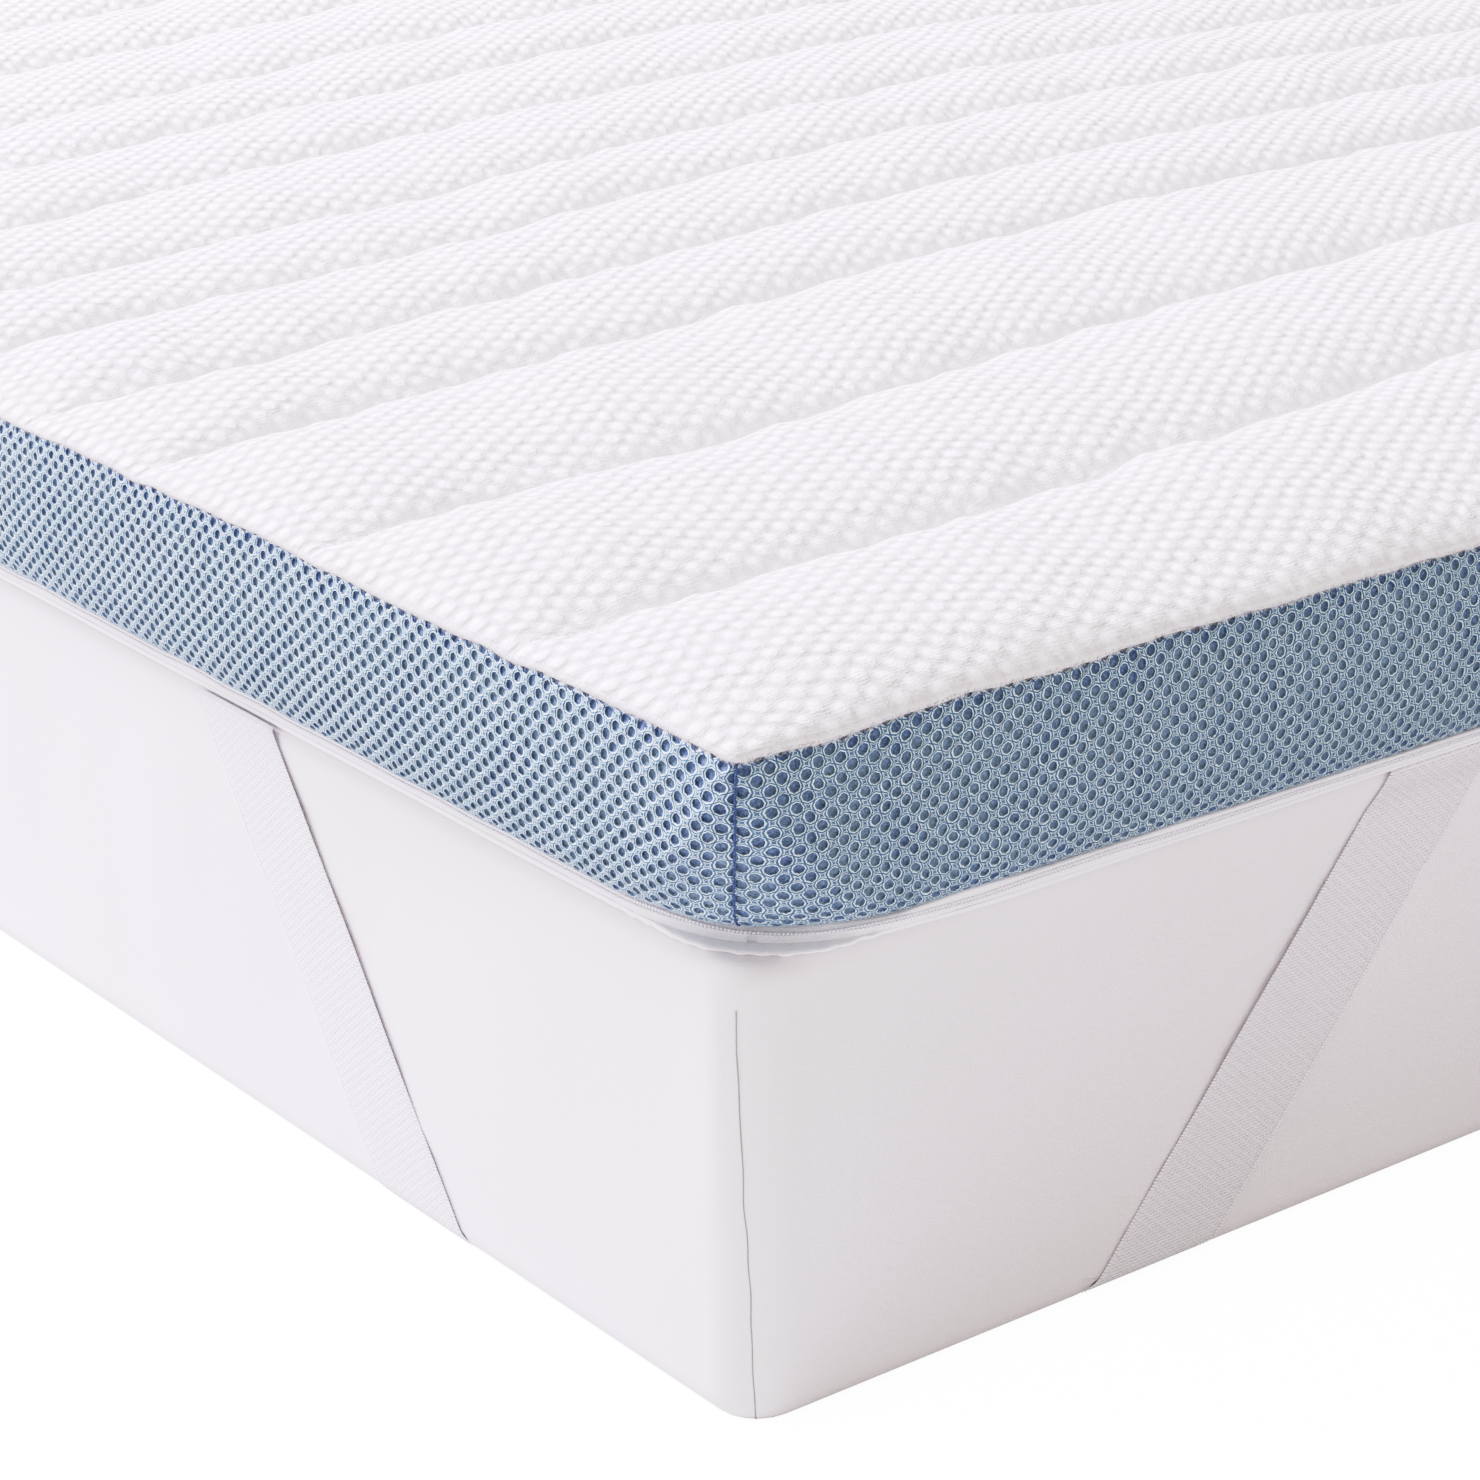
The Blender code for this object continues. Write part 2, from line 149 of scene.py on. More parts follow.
def make_mesh(name, points, faces, material, slots=None, smooth=True, attributes=None,
              uv=None, face_slots=None):
    """One piece from point and face lists, with its per-point values."""
    mesh = bpy.data.meshes.new(name)
    if isinstance(faces, tuple):            # (loop vertices, loop starts, loop totals)
        loops, starts, totals = faces
        mesh.vertices.add(len(points))
        mesh.vertices.foreach_set("co", np.asarray(points, np.float32).ravel())
        mesh.loops.add(len(loops))
        mesh.loops.foreach_set("vertex_index", np.asarray(loops, np.int32))
        mesh.polygons.add(len(starts))
        mesh.polygons.foreach_set("loop_start", np.asarray(starts, np.int32))
        mesh.update(calc_edges=True)
        mesh.validate()
    else:
        mesh.from_pydata([tuple(p) for p in points], [], faces)
    for key, values in (attributes or {}).items():
        layer = mesh.attributes.new(key, "FLOAT", "POINT")
        layer.data.foreach_set("value", np.asarray(values, np.float32))
    if uv is not None:
        layer = mesh.uv_layers.new(name="weave")
        index = np.zeros(len(mesh.loops), np.int32)
        mesh.loops.foreach_get("vertex_index", index)
        layer.data.foreach_set("uv", np.asarray(uv, np.float32)[index].ravel())
    for mat in material if isinstance(material, (list, tuple)) else [material]:
        mesh.materials.append(mat)
    if face_slots is not None:
        mesh.polygons.foreach_set("material_index", np.asarray(face_slots, np.int32))
    if smooth:
        mesh.shade_smooth()
    obj = bpy.data.objects.new(name, mesh)
    bpy.context.scene.collection.objects.link(obj)
    return obj


def face_outwards(obj):
    bm = bmesh.new()
    bm.from_mesh(obj.data)
    bmesh.ops.recalc_face_normals(bm, faces=bm.faces)
    bm.to_mesh(obj.data)
    bm.free()
    obj.data.update()


def grid_faces(rows, columns, wrap=False, first=0):
    faces = []
    for j in range(rows - 1):
        for i in range(columns if wrap else columns - 1):
            n = (i + 1) % columns
            faces.append((first + j * columns + i, first + j * columns + n,
                          first + (j + 1) * columns + n, first + (j + 1) * columns + i))
    return faces


# ---------------------------------------------------------------- outlines
def ring_xy(side, along, out_end, out_side, corner):
    """Points on a rectangle with round corners, by distance along one side."""
    along, out_end, out_side, corner = np.broadcast_arrays(
        np.asarray(along, float), out_end, out_side, corner)
    length = TOPPER_WIDTH if side % 2 == 0 else TOPPER_LENGTH
    half_x, half_y = HALF_X + out_side, HALF_Y + out_end
    half_along, half_across = (half_x, half_y) if side % 2 == 0 else (half_y, half_x)
    mirrored = along > length / 2
    d = np.where(mirrored, length - along, along)
    arc = corner * math.pi / 4
    run = d / CORNER_ZONE * (arc + CORNER_ZONE - corner)
    angle = math.pi / 4 - run / np.maximum(corner, 1e-6)
    in_zone = d < CORNER_ZONE
    on_arc = in_zone & (run < arc)
    share = (d - CORNER_ZONE) / (length / 2 - CORNER_ZONE)
    x = np.where(on_arc, -half_along + corner - corner * np.sin(angle),
                 np.where(in_zone, -half_along + corner + run - arc,
                          (-half_along + CORNER_ZONE) * (1 - share)))
    y = np.where(on_arc, -half_across + corner - corner * np.cos(angle), -half_across)
    x = np.where(mirrored, -x, x)
    for _ in range(side):
        x, y = -y, x
    return x, y


def smooth_profile():
    """The band's profile as a soft curve, evenly spaced by its own length."""
    rows = BAND_PROFILE
    middle = (rows[:, 1] + rows[:, 2]) / 2
    run = np.concatenate([[0], np.cumsum(np.hypot(np.diff(rows[:, 0]),
                                                  np.diff(middle)))])
    fine = np.linspace(0, run[-1], 241)
    table = np.stack([np.interp(fine, run, rows[:, k]) for k in range(4)], axis=1)
    for _ in range(60):
        table[1:-1] = (table[:-2] + 2 * table[1:-1] + table[2:]) / 4
    return table, run[-1]


PROFILE, BAND_HEIGHT = smooth_profile()
EDGE_WAVE = [Line(11 + side, 0.10, 0.45) for side in range(4)]
EDGE_WAVE_FINE = [Line(21 + side, 0.025, 0.06) for side in range(4)]
BULGE = [Waves(31 + side, 0.12, 0.50) for side in range(4)]


def seam_lines():
    y, lines = -HALF_Y, [(-HALF_Y, 0.0)]
    for width, lean, _ in CHANNELS:
        y += width
        lines.append((y, lean))
    return lines


SEAMS = seam_lines()


def edge_lift(side, along):
    """How far the seam between knit and band rises or dips."""
    length = TOPPER_WIDTH if side % 2 == 0 else TOPPER_LENGTH
    ends = smoothstep(along / 0.05) * smoothstep((length - along) / 0.05)
    wave = 0.0007 * EDGE_WAVE[side](along) + 0.00022 * EDGE_WAVE_FINE[side](along)
    if side % 2 == 1:
        y = along - HALF_Y if side == 1 else HALF_Y - along
        for y_left, lean in SEAMS[1:-1]:
            place = y_left + (lean if side == 1 else 0.0)
            wave = wave - 0.0011 * np.exp(-((y - place) / 0.014) ** 2)
    return wave * ends


def band_point(side, along, v, out):
    """Points on the band: v runs from 0 at its top edge to 1, out is outwards."""
    along, v, out = np.broadcast_arrays(np.asarray(along, float), v, out)
    at = np.clip(v, 0, 1) * (len(PROFILE) - 1)
    k = np.clip(at.astype(int), 0, len(PROFILE) - 2)
    part = (at - k)[..., None]
    row = PROFILE[k] * (1 - part) + PROFILE[k + 1] * part
    step = PROFILE[np.minimum(k + 4, len(PROFILE) - 1)] - PROFILE[np.maximum(k - 3, 0)]
    drop, swell = -step[..., 0], (step[..., 1] + step[..., 2]) / 2
    size = np.hypot(drop, swell)
    n_out, n_up = drop / size, swell / size
    length = TOPPER_WIDTH if side % 2 == 0 else TOPPER_LENGTH
    ends = smoothstep(along / 0.09) * smoothstep((length - along) / 0.09)
    soft = 0.0009 * BULGE[side](along, v * BAND_HEIGHT) * ends * np.sin(math.pi * v)
    out = out + soft
    fall = (1 - v) ** 2
    x, y = ring_xy(side, along, row[..., 1] + out * n_out, row[..., 2] + out * n_out,
                   np.maximum(row[..., 3] + out * n_out, 0.0008))
    z = MATTRESS_HEIGHT + row[..., 0] + out * n_up + edge_lift(side, along) * fall
    return np.stack([x, y, z], axis=-1)


def settle(points, share=1.0):
    """The cover sits lower on the front end: its blue edge most, its base less."""
    points = np.array(points, float)
    x, y, h = points[..., 0], points[..., 1], points[..., 2] - MATTRESS_HEIGHT
    near = 1 - smoothstep((y + HALF_Y - 0.028) / 0.036)
    run = HALF_X - np.abs(x)
    blue = 0.0040 + 0.0036 * smoothstep(run / 0.42)
    white = 0.0030 * smoothstep((run - 0.050) / 0.080)
    up = np.clip((TOP_EDGE - h) / (TOP_EDGE - 0.0112), 0, 1)
    drop = np.where(h > 0.0112, blue * up,
                    white + (blue - white) * np.clip(h / 0.0112, 0, 1))
    points[..., 2] -= near * share * drop
    return points


def ring_stations(step, near=0.004):
    """Stations round all four sides, closer together where a corner turns."""
    found = []
    for side in range(4):
        length = TOPPER_WIDTH if side % 2 == 0 else TOPPER_LENGTH
        places, d = [], 0.0
        while d < length / 2 - step * 0.6:
            places.append(d)
            d += near if d < CORNER_ZONE else step
        places = places + [length / 2] + [length - p for p in reversed(places)]
        found += [(side, p) for p in places[:-1]]
    return found


def ring_points(stations, lift, out_end, out_side, corner, wave=None):
    points = np.zeros((len(stations), 3))
    side_of = np.array([s for s, _ in stations])
    along = np.array([d for _, d in stations])
    for side in range(4):
        pick = side_of == side
        x, y = ring_xy(side, along[pick], out_end, out_side, corner)
        points[pick, 0], points[pick, 1] = x, y
    points[:, 2] = MATTRESS_HEIGHT + lift
    if wave is not None:
        points[:, 2] += wave
    return points


# ---------------------------------------------------------------- materials
def linear(*rgb):
    """Colour as seen on a screen, 0 to 255, as the shader takes it."""
    return tuple(((c / 255 + 0.055) / 1.055) ** 2.4 if c > 10.3 else c / 255 / 12.92
                 for c in rgb) + (1.0,)


class Nodes:
    """Small helper that builds one material's nodes."""

    def __init__(self, name, color, roughness=0.9, **sockets):
        self.mat = bpy.data.materials.new(name)
        self.mat.use_nodes = True
        self.tree = self.mat.node_tree
        self.shader = self.tree.nodes["Principled BSDF"]
        self.set(self.shader, {"Base Color": color, "Roughness": roughness,
                               "Specular IOR Level": 0.25, **sockets})

    def set(self, node, values):
        for key, value in values.items():
            socket = node.inputs[key]
            if hasattr(value, "is_output"):
                self.tree.links.new(value, socket)
            else:
                socket.default_value = value

    def add(self, kind, out=0, props=None, **values):
        node = self.tree.nodes.new(kind)
        for key, value in (props or {}).items():
            setattr(node, key, value)
        for key, value in values.items():
            self.set(node, {int(key[1:]) if key[0] == "i" and key[1:].isdigit()
                            else key.replace("_", " "): value})
        return node.outputs[out]

    def math(self, op, a, b=None, c=None, clamp=False):
        node = self.tree.nodes.new("ShaderNodeMath")
        node.operation, node.use_clamp = op, clamp
        for k, value in enumerate((a, b, c)):
            if value is not None:
                self.set(node, {k: value})
        return node.outputs[0]

    def attribute(self, name):
        node = self.tree.nodes.new("ShaderNodeAttribute")
        node.attribute_name = name
        return node.outputs["Fac"]

    def object_point(self):
        return self.add("ShaderNodeTexCoord", out=3)

    def uv(self):
        node = self.tree.nodes.new("ShaderNodeUVMap")
        node.uv_map = "weave"
        return node.outputs[0]

    def split(self, vector):
        node = self.tree.nodes.new("ShaderNodeSeparateXYZ")
        self.tree.links.new(vector, node.inputs[0])
        return node.outputs[0], node.outputs[1], node.outputs[2]

    def noise(self, vector, scale, detail=2.0, roughness=0.5, out=0):
        return self.add("ShaderNodeTexNoise", out=out, Vector=vector, Scale=scale,
                        Detail=detail, Roughness=roughness)

    def scaled(self, vector, factors):
        return self.add("ShaderNodeMapping", Vector=vector, Scale=factors)

    def mix(self, factor, a, b, mode="MIX"):
        node = self.tree.nodes.new("ShaderNodeMix")
        node.data_type, node.blend_type = "RGBA", mode
        node.clamp_factor = True
        self.set(node, {0: factor, 6: a, 7: b})
        return node.outputs[2]

    def ramp(self, value, low, high, to_low=0.0, to_high=1.0, soft=True):
        node = self.tree.nodes.new("ShaderNodeMapRange")
        node.interpolation_type = "SMOOTHSTEP" if soft else "LINEAR"
        node.clamp = True if not soft else node.clamp
        self.set(node, {0: value, 1: low, 2: high, 3: to_low, 4: to_high})
        return node.outputs[0]

    def bump(self, height, strength=1.0):
        """height is in metres."""
        node = self.tree.nodes.new("ShaderNodeBump")
        self.set(node, {"Height": height, "Distance": 1.0, "Strength": strength})
        self.tree.links.new(node.outputs[0], self.shader.inputs["Normal"])

    def color(self, value):
        self.set(self.shader, {"Base Color": value})


def knit_material():
    n = Nodes("white_bubble_knit", linear(250, 248, 246), 0.92,
              **{"Sheen Weight": 0.15, "Sheen Roughness": 0.45})
    p = n.object_point()
    drift = n.noise(p, 26.0, 1.0, out=1)
    p2 = n.add("ShaderNodeVectorMath", props={"operation": "MULTIPLY_ADD"},
               i0=drift, i1=(0.0060, 0.0060, 0.0), i2=p)
    fine_drift = n.noise(p, 130.0, 1.0, out=1)
    p2 = n.add("ShaderNodeVectorMath", props={"operation": "MULTIPLY_ADD"},
               i0=fine_drift, i1=(0.0026, 0.0022, 0.0), i2=p2)
    x, y, _ = n.split(p2)
    # a staggered lattice of round bubbles with narrow hollows between them
    cos_x = n.math("COSINE", n.math("MULTIPLY", x, 2 * math.pi / BUBBLE_X))
    cos_y = n.math("COSINE", n.math("MULTIPLY", y, 2 * math.pi / BUBBLE_Y))
    wave = n.math("MULTIPLY", cos_x, n.math("ADD", cos_x, cos_y))
    mound = n.ramp(wave, -0.25, 2.0)                         # 0 between, 1 on a bubble
    bubble = n.math("POWER", mound, 0.62)
    seam = n.attribute("seam")                               # mm to the nearest seam
    rim = n.attribute("rim_mm")                              # mm to the pad's edge
    calm = n.math("MULTIPLY", n.ramp(seam, 0.3, 4.0), n.ramp(rim, -1.0, 1.5))
    plump = n.ramp(n.noise(p, 70.0, 1.0), 0.30, 0.70, 0.75, 1.20)
    # loops of yarn: fine courses across each bubble, broken up by noise
    bx, by, _ = n.split(p)
    course = n.math("SINE", n.math("MULTIPLY_ADD", by, 2 * math.pi / 0.0016,
                                   n.math("MULTIPLY", n.noise(p, 420.0, 1.0), 7.0)))
    loops = n.noise(n.scaled(p, (1.0, 1.4, 1.0)), 600.0, 3.0, 0.7)
    fuzz = n.noise(p, 2200.0, 3.0, 0.75)
    height = n.math("MULTIPLY", n.math("MULTIPLY", n.math("MULTIPLY", bubble, calm),
                                       plump), 0.00230)
    height = n.math("MULTIPLY_ADD", loops, 0.00120, height)
    height = n.math("MULTIPLY_ADD", course, 0.00006, height)
    height = n.math("MULTIPLY_ADD", fuzz, 0.00030, height)
    stitch = n.math("SINE", n.math("MULTIPLY", bx, 2 * math.pi / 0.0042))
    in_seam = n.ramp(seam, 1.6, 0.0)
    height = n.math("MULTIPLY_ADD", n.math("MULTIPLY", stitch, in_seam), 0.0003, height)
    n.bump(height)
    patch = n.noise(p, 9.0, 2.0)
    tone = n.mix(n.ramp(patch, 0.35, 0.7), linear(252, 250, 249), linear(251, 249, 245))
    # painted shade: the hollows between the bubbles are darkened in the colour
    hollow_shade = n.math("MULTIPLY", n.ramp(mound, 0.24, 0.0), calm)
    tone = n.mix(n.math("MULTIPLY", hollow_shade, 0.42), tone, linear(184, 180, 183))
    tone = n.mix(n.ramp(loops, 0.36, 0.52, 0.26, 0.0), tone, linear(188, 185, 187))
    tone = n.mix(n.ramp(fuzz, 0.36, 0.50, 0.18, 0.0), tone, linear(190, 187, 189))
    # painted shade: the colour darkens within 1.8 mm of each quilting seam, in its crease
    tone = n.mix(n.math("MULTIPLY", n.ramp(seam, 1.8, 0.0), 0.45), tone,
                 linear(190, 187, 189))
    n.color(tone)
    return n.mat


def net_material():
    n = Nodes("blue_spacer_mesh", linear(150, 178, 205), 0.50,
              **{"Sheen Weight": 0.25, "Sheen Roughness": 0.40,
                 "Sheen Tint": linear(216, 248, 252), "Specular IOR Level": 0.50})
    p = n.object_point()
    gap, deep, pit_shade_and_blotch = (n.attribute(a) for a in ("gap_mm", "deep", "pit_shade_and_blotch"))
    top = n.attribute("top_mm")                              # mm below the top edge
    yarn = n.noise(n.scaled(p, (1.0, 1.0, 1.4)), 1500.0, 3.0, 0.7)
    speck = n.noise(p, 760.0, 2.0, 0.6)
    bend = n.noise(p, 420.0, 1.0)
    patch = n.noise(p, 60.0, 2.0)
    # a strand of yarn runs round every hole, with a second one outside it
    # where the web is wide; gap is the distance from the hole
    shaken = n.math("MULTIPLY_ADD", n.math("SUBTRACT", yarn, 0.5), 0.30, gap)
    shaken = n.math("MULTIPLY_ADD", n.math("SUBTRACT", bend, 0.5), 0.55, shaken)
    inner = n.math("MULTIPLY", n.ramp(shaken, -0.02, 0.08), n.ramp(shaken, 0.50, 0.38))
    outer = n.math("MULTIPLY", n.ramp(shaken, 1.00, 1.12), n.ramp(shaken, 1.48, 1.34))
    strand = n.math("MAXIMUM", inner, n.math("MULTIPLY", outer, 0.72))
    strand = n.math("MULTIPLY", strand, n.ramp(speck, 0.32, 0.46, 0.50, 1.0))
    web = n.mix(n.ramp(yarn, 0.36, 0.62), linear(24, 66, 100), linear(46, 96, 132))
    web = n.mix(n.ramp(speck, 0.48, 0.36, 0.0, 0.85), web, linear(24, 58, 92))
    web = n.mix(strand, web, linear(232, 254, 254))
    web = n.mix(n.ramp(patch, 0.35, 0.70, 0.0, 0.08), web, linear(54, 114, 150))
    # painted shade: the pits go navy near the band's top and bottom edges and its corners,
    # slate elsewhere; the blotches in it are random tone
    pit = n.mix(pit_shade_and_blotch, linear(90, 118, 142), linear(36, 72, 126))
    rib = n.math("SINE", n.math("MULTIPLY", n.split(p)[2], 2 * math.pi / 0.0011))
    pit = n.mix(n.ramp(rib, -0.5, 0.9, 0.0, 0.30), pit, linear(52, 78, 112))
    pit = n.mix(n.ramp(speck, 0.42, 0.62, 0.0, 0.40), pit, linear(122, 152, 180))
    tone = n.mix(n.ramp(deep, 0.10, 0.55), web, pit)
    # the white cloth's own fuzz lies over the very top
    fuzz = n.math("MULTIPLY_ADD", n.math("SUBTRACT", n.noise(p, 900.0, 2.0, 0.7), 0.5),
                  -4.5, top)
    n.color(n.mix(n.ramp(fuzz, 1.9, 0.3, 0.0, 0.90), tone, linear(240, 240, 242)))
    height = n.math("MULTIPLY", yarn, 0.00018)
    height = n.math("MULTIPLY_ADD", strand, 0.00045, height)
    height = n.math("MULTIPLY_ADD", speck, 0.00012, height)
    n.bump(height)
    return n.mat


def tape_material(name, color, pitch=0.0011, dark=0.80):
    n = Nodes(name, color, 0.85, **{"Sheen Weight": 0.25})
    u, v, _ = n.split(n.uv())
    warp = n.math("SINE", n.math("MULTIPLY", u, 2 * math.pi / pitch))
    weft = n.math("SINE", n.math("MULTIPLY", v, 2 * math.pi / (pitch * 0.8)))
    weave = n.math("MULTIPLY", warp, weft)
    grain = n.noise(n.object_point(), 1500.0, 2.0)
    n.bump(n.math("MULTIPLY_ADD", weave, 0.00007, n.math("MULTIPLY", grain, 0.00012)))
    n.color(n.mix(n.ramp(weave, -0.6, 0.4, 0.30, 0.0), color,
                  tuple(c * dark for c in color[:3]) + (1.0,)))
    return n.mat


def elastic_material():
    color = linear(251, 248, 250)
    n = Nodes("white_elastic_weave", color, 0.80, **{"Sheen Weight": 0.25})
    across, along, _ = n.split(n.uv())
    ribs = n.math("SINE", n.math("MULTIPLY", across, 2 * math.pi / 0.0021))
    picks = n.math("SINE", n.math("MULTIPLY_ADD", along, 2 * math.pi / 0.0019,
                                  n.math("MULTIPLY", ribs, 1.4)))
    weave = n.math("MULTIPLY", ribs, picks)
    twill = n.math("SINE", n.math("MULTIPLY", n.math("MULTIPLY_ADD", across, 0.8, along),
                                  2 * math.pi / 0.0036))
    grain = n.noise(n.object_point(), 1100.0, 3.0, 0.65)
    height = n.math("MULTIPLY", weave, 0.00026)
    height = n.math("MULTIPLY_ADD", twill, 0.00009, height)
    height = n.math("MULTIPLY_ADD", grain, 0.00016, height)
    n.bump(height)
    edge = n.attribute("edge_mm")
    tone = n.mix(n.ramp(weave, -0.7, 0.3, 0.55, 0.0), color, linear(184, 177, 186))
    tone = n.mix(n.ramp(twill, -0.2, -0.9, 0.0, 0.16), tone, linear(196, 190, 198))
    tone = n.mix(n.ramp(grain, 0.30, 0.50, 0.22, 0.0), tone, linear(200, 195, 202))
    # painted shade: a darker stripe runs 0.6 to 2.2 mm inside each edge of the strap
    tone = n.mix(n.math("MULTIPLY", n.ramp(edge, 0.6, 1.1), n.ramp(edge, 2.2, 1.6)),
                 tone, linear(236, 232, 237))
    n.color(tone)
    return n.mat


def ticking_material():
    color = linear(234, 229, 231)
    n = Nodes("white_plain_ticking", color, 0.9, **{"Sheen Weight": 0.10})
    p = n.object_point()
    x, y, z = n.split(p)
    around = n.math("ADD", x, y)
    warp = n.math("SINE", n.math("MULTIPLY", around, 2 * math.pi / 0.0013))
    weft = n.math("SINE", n.math("MULTIPLY", z, 2 * math.pi / 0.0011))
    grain = n.noise(n.scaled(p, (1.0, 1.0, 0.5)), 900.0, 3.0, 0.6)
    slub = n.noise(n.scaled(p, (1.0, 1.0, 0.12)), 220.0, 2.0)
    height = n.math("MULTIPLY", n.math("MULTIPLY", warp, weft), 0.00004)
    height = n.math("MULTIPLY_ADD", grain, 0.00008, height)
    height = n.math("MULTIPLY_ADD", slub, 0.00008, height)
    n.bump(height)
    soil = n.noise(p, 5.0, 3.0)
    tone = n.mix(n.ramp(soil, 0.35, 0.70), color, linear(230, 226, 225))
    tone = n.mix(n.ramp(grain, 0.30, 0.50, 0.12, 0.0), tone, linear(206, 202, 204))
    n.color(tone)
    return n.mat


def thread_material(name, color, roughness=0.6, dark=0.7):
    n = Nodes(name, color, roughness)
    grain = n.noise(n.object_point(), 2500.0, 2.0)
    n.bump(n.math("MULTIPLY", grain, 0.00012))
    n.color(n.mix(n.ramp(grain, 0.3, 0.7), color,
                  tuple(c * dark for c in color[:3]) + (1.0,)))
    return n.mat


KNIT = knit_material()
NET = net_material()
TAPE = tape_material("white_zip_tape", linear(254, 253, 255), 0.0011, 0.90)
PANEL = tape_material("white_base_weave", linear(250, 248, 250), 0.0015, 0.90)
COIL = thread_material("white_nylon_teeth", linear(254, 252, 255), 0.45, 0.94)
ELASTIC = elastic_material()
TICKING = ticking_material()
NAVY = thread_material("navy_thread", linear(58, 84, 132), 0.7)
FIBRE = thread_material("white_loose_fibre", linear(246, 245, 246), 0.9, 0.94)
OLIVE = thread_material("grey_seam_thread", linear(160, 158, 148), 0.8)

# ---------------------------------------------------------------- quilted top
SEAM_WOBBLE = [Line(100 + k, 0.22, 0.90) for k in range(len(CHANNELS) + 1)]
SEAM_SHAKE = [Line(140 + k, 0.035, 0.09) for k in range(len(CHANNELS) + 1)]
PUFF_SIZE = [Line(180 + k, 0.10, 0.32) for k in range(len(CHANNELS))]
LUMPS = Waves(7, 0.05, 0.12, 14)
PUCKERS = Waves(8, 0.022, 0.045, 16, squash=(1.0, 2.2))


def seam_y(k, x):
    """Where seam k lies, from the left edge to the right."""
    y_left, lean = SEAMS[k]
    y = y_left + lean * (x + HALF_X) / TOPPER_WIDTH
    if 0 < k < len(CHANNELS):
        y = y + 0.0022 * SEAM_WOBBLE[k](x) + 0.0006 * SEAM_SHAKE[k](x)
    return y


def build_knit():
    near = [0.0, 0.0007, 0.0018, 0.0035, 0.0058, 0.0090, 0.0130, 0.0180, 0.0240]
    count = round((TOPPER_WIDTH - 2 * 0.0310) / 0.0086)
    inner = np.linspace(-HALF_X + 0.0310, HALF_X - 0.0310, count + 1)
    xs = np.concatenate([[-HALF_X + d for d in near], inner,
                         [HALF_X - d for d in reversed(near)]])
    rows = []                                   # (channel, share of it)
    spread = [0.0, 0.012, 0.030, 0.055, 0.09, 0.14, 0.20, 0.28, 0.37, 0.46,
              0.55, 0.64, 0.73, 0.80, 0.86, 0.91, 0.945, 0.970, 0.988]
    for k, (width, _, _) in enumerate(CHANNELS):
        if k == 0:
            steps = [d / width for d in near] + [t for t in spread if t > 0.20]
        elif k == len(CHANNELS) - 1:
            steps = [t for t in spread if t < 0.80] + [1 - d / width
                                                       for d in reversed(near[1:])]
        elif width < 0.12:
            steps = spread[:4] + spread[5:-4:1] + spread[-3:]
        else:
            steps = spread
        rows += [(k, t) for t in steps]
    rows.append((len(CHANNELS) - 1, 1.0))
    k_of = np.array([k for k, _ in rows])
    t_of = np.array([t for _, t in rows])
    n_rows, n_cols = len(rows), len(xs)
    grid = np.zeros((n_rows, n_cols, 3))
    seam_mm = np.zeros((n_rows, n_cols))
    for j in range(n_rows):
        k, t = k_of[j], t_of[j]
        y0, y1 = seam_y(k, xs), seam_y(k + 1, xs)
        y = y0 + (y1 - y0) * t
        edge_x, edge_y = HALF_X - np.abs(xs), HALF_Y - np.abs(y)
        rise = CHANNELS[k][2] * 1.12 * (1 + 0.07 * PUFF_SIZE[k](xs))
        lean_t = t + 0.020 * np.sin(2 * math.pi * t)
        puff = rise * (1 - abs(2 * lean_t - 1) ** 2.5)
        end = 1 - (1 - np.minimum(edge_x / CHANNEL_TAPER, 1)) ** 2.2
        to_seam = np.minimum((y - y0) if k > 0 else 9.0, (y1 - y)
                             if k < len(CHANNELS) - 1 else 9.0)
        seam_mm[j] = np.minimum(to_seam * 1000, 60)
        groove = 0.0026 * np.exp(-(to_seam / 0.0045) ** 2)
        pucker = (0.0010 * PUCKERS(xs, y) * np.exp(-to_seam / 0.016)
                  * smoothstep(to_seam / 0.004))
        lump = 0.00045 * LUMPS(xs, y)
        crown = (CROWN_HEIGHT * smoothstep(edge_x / CROWN_REACH)
                 * smoothstep(edge_y / CROWN_REACH_END))
        edge = np.minimum(edge_x, edge_y)
        roll_share = np.clip(edge / 0.0110, 0, 1)
        roll = 0.0036 * np.sqrt(np.maximum(1 - (1 - roll_share) ** 2, 0))
        away = smoothstep(edge / 0.02)
        grid[j, :, 0], grid[j, :, 1] = xs, y
        grid[j, :, 2] = (MATTRESS_HEIGHT + TOP_EDGE + 0.0006 + crown + puff * end
                         - groove * end * smoothstep(edge / 0.03) + roll
                         + (pucker + lump) * away)
    # the rim follows the band's top edge
    last_r, last_c = n_rows - 1, n_cols - 1
    around = ([(0, i) for i in range(last_c)] + [(j, last_c) for j in range(last_r)]
              + [(last_r, i) for i in range(last_c, 0, -1)]
              + [(j, 0) for j in range(last_r, 0, -1)])
    stations = []
    for j, i in around:
        x, y = grid[j, i, 0], grid[j, i, 1]
        if j == 0 and i < last_c:
            stations.append((0, x + HALF_X))
        elif i == last_c and j < last_r:
            stations.append((1, y + HALF_Y))
        elif j == last_r and i > 0:
            stations.append((2, HALF_X - x))
        else:
            stations.append((3, HALF_Y - y))
    wave = np.array([float(edge_lift(s, np.array(d))) for s, d in stations])
    ragged = 0.00022 * Line(64, 0.006, 0.03, 11)(np.arange(len(stations)) * 0.0086)
    rim = ring_points(stations, TOP_EDGE - 0.0006, 0.0006, 0.0006, 0.0064, wave + ragged)
    for (j, i), point in zip(around, rim):
        grid[j, i] = point
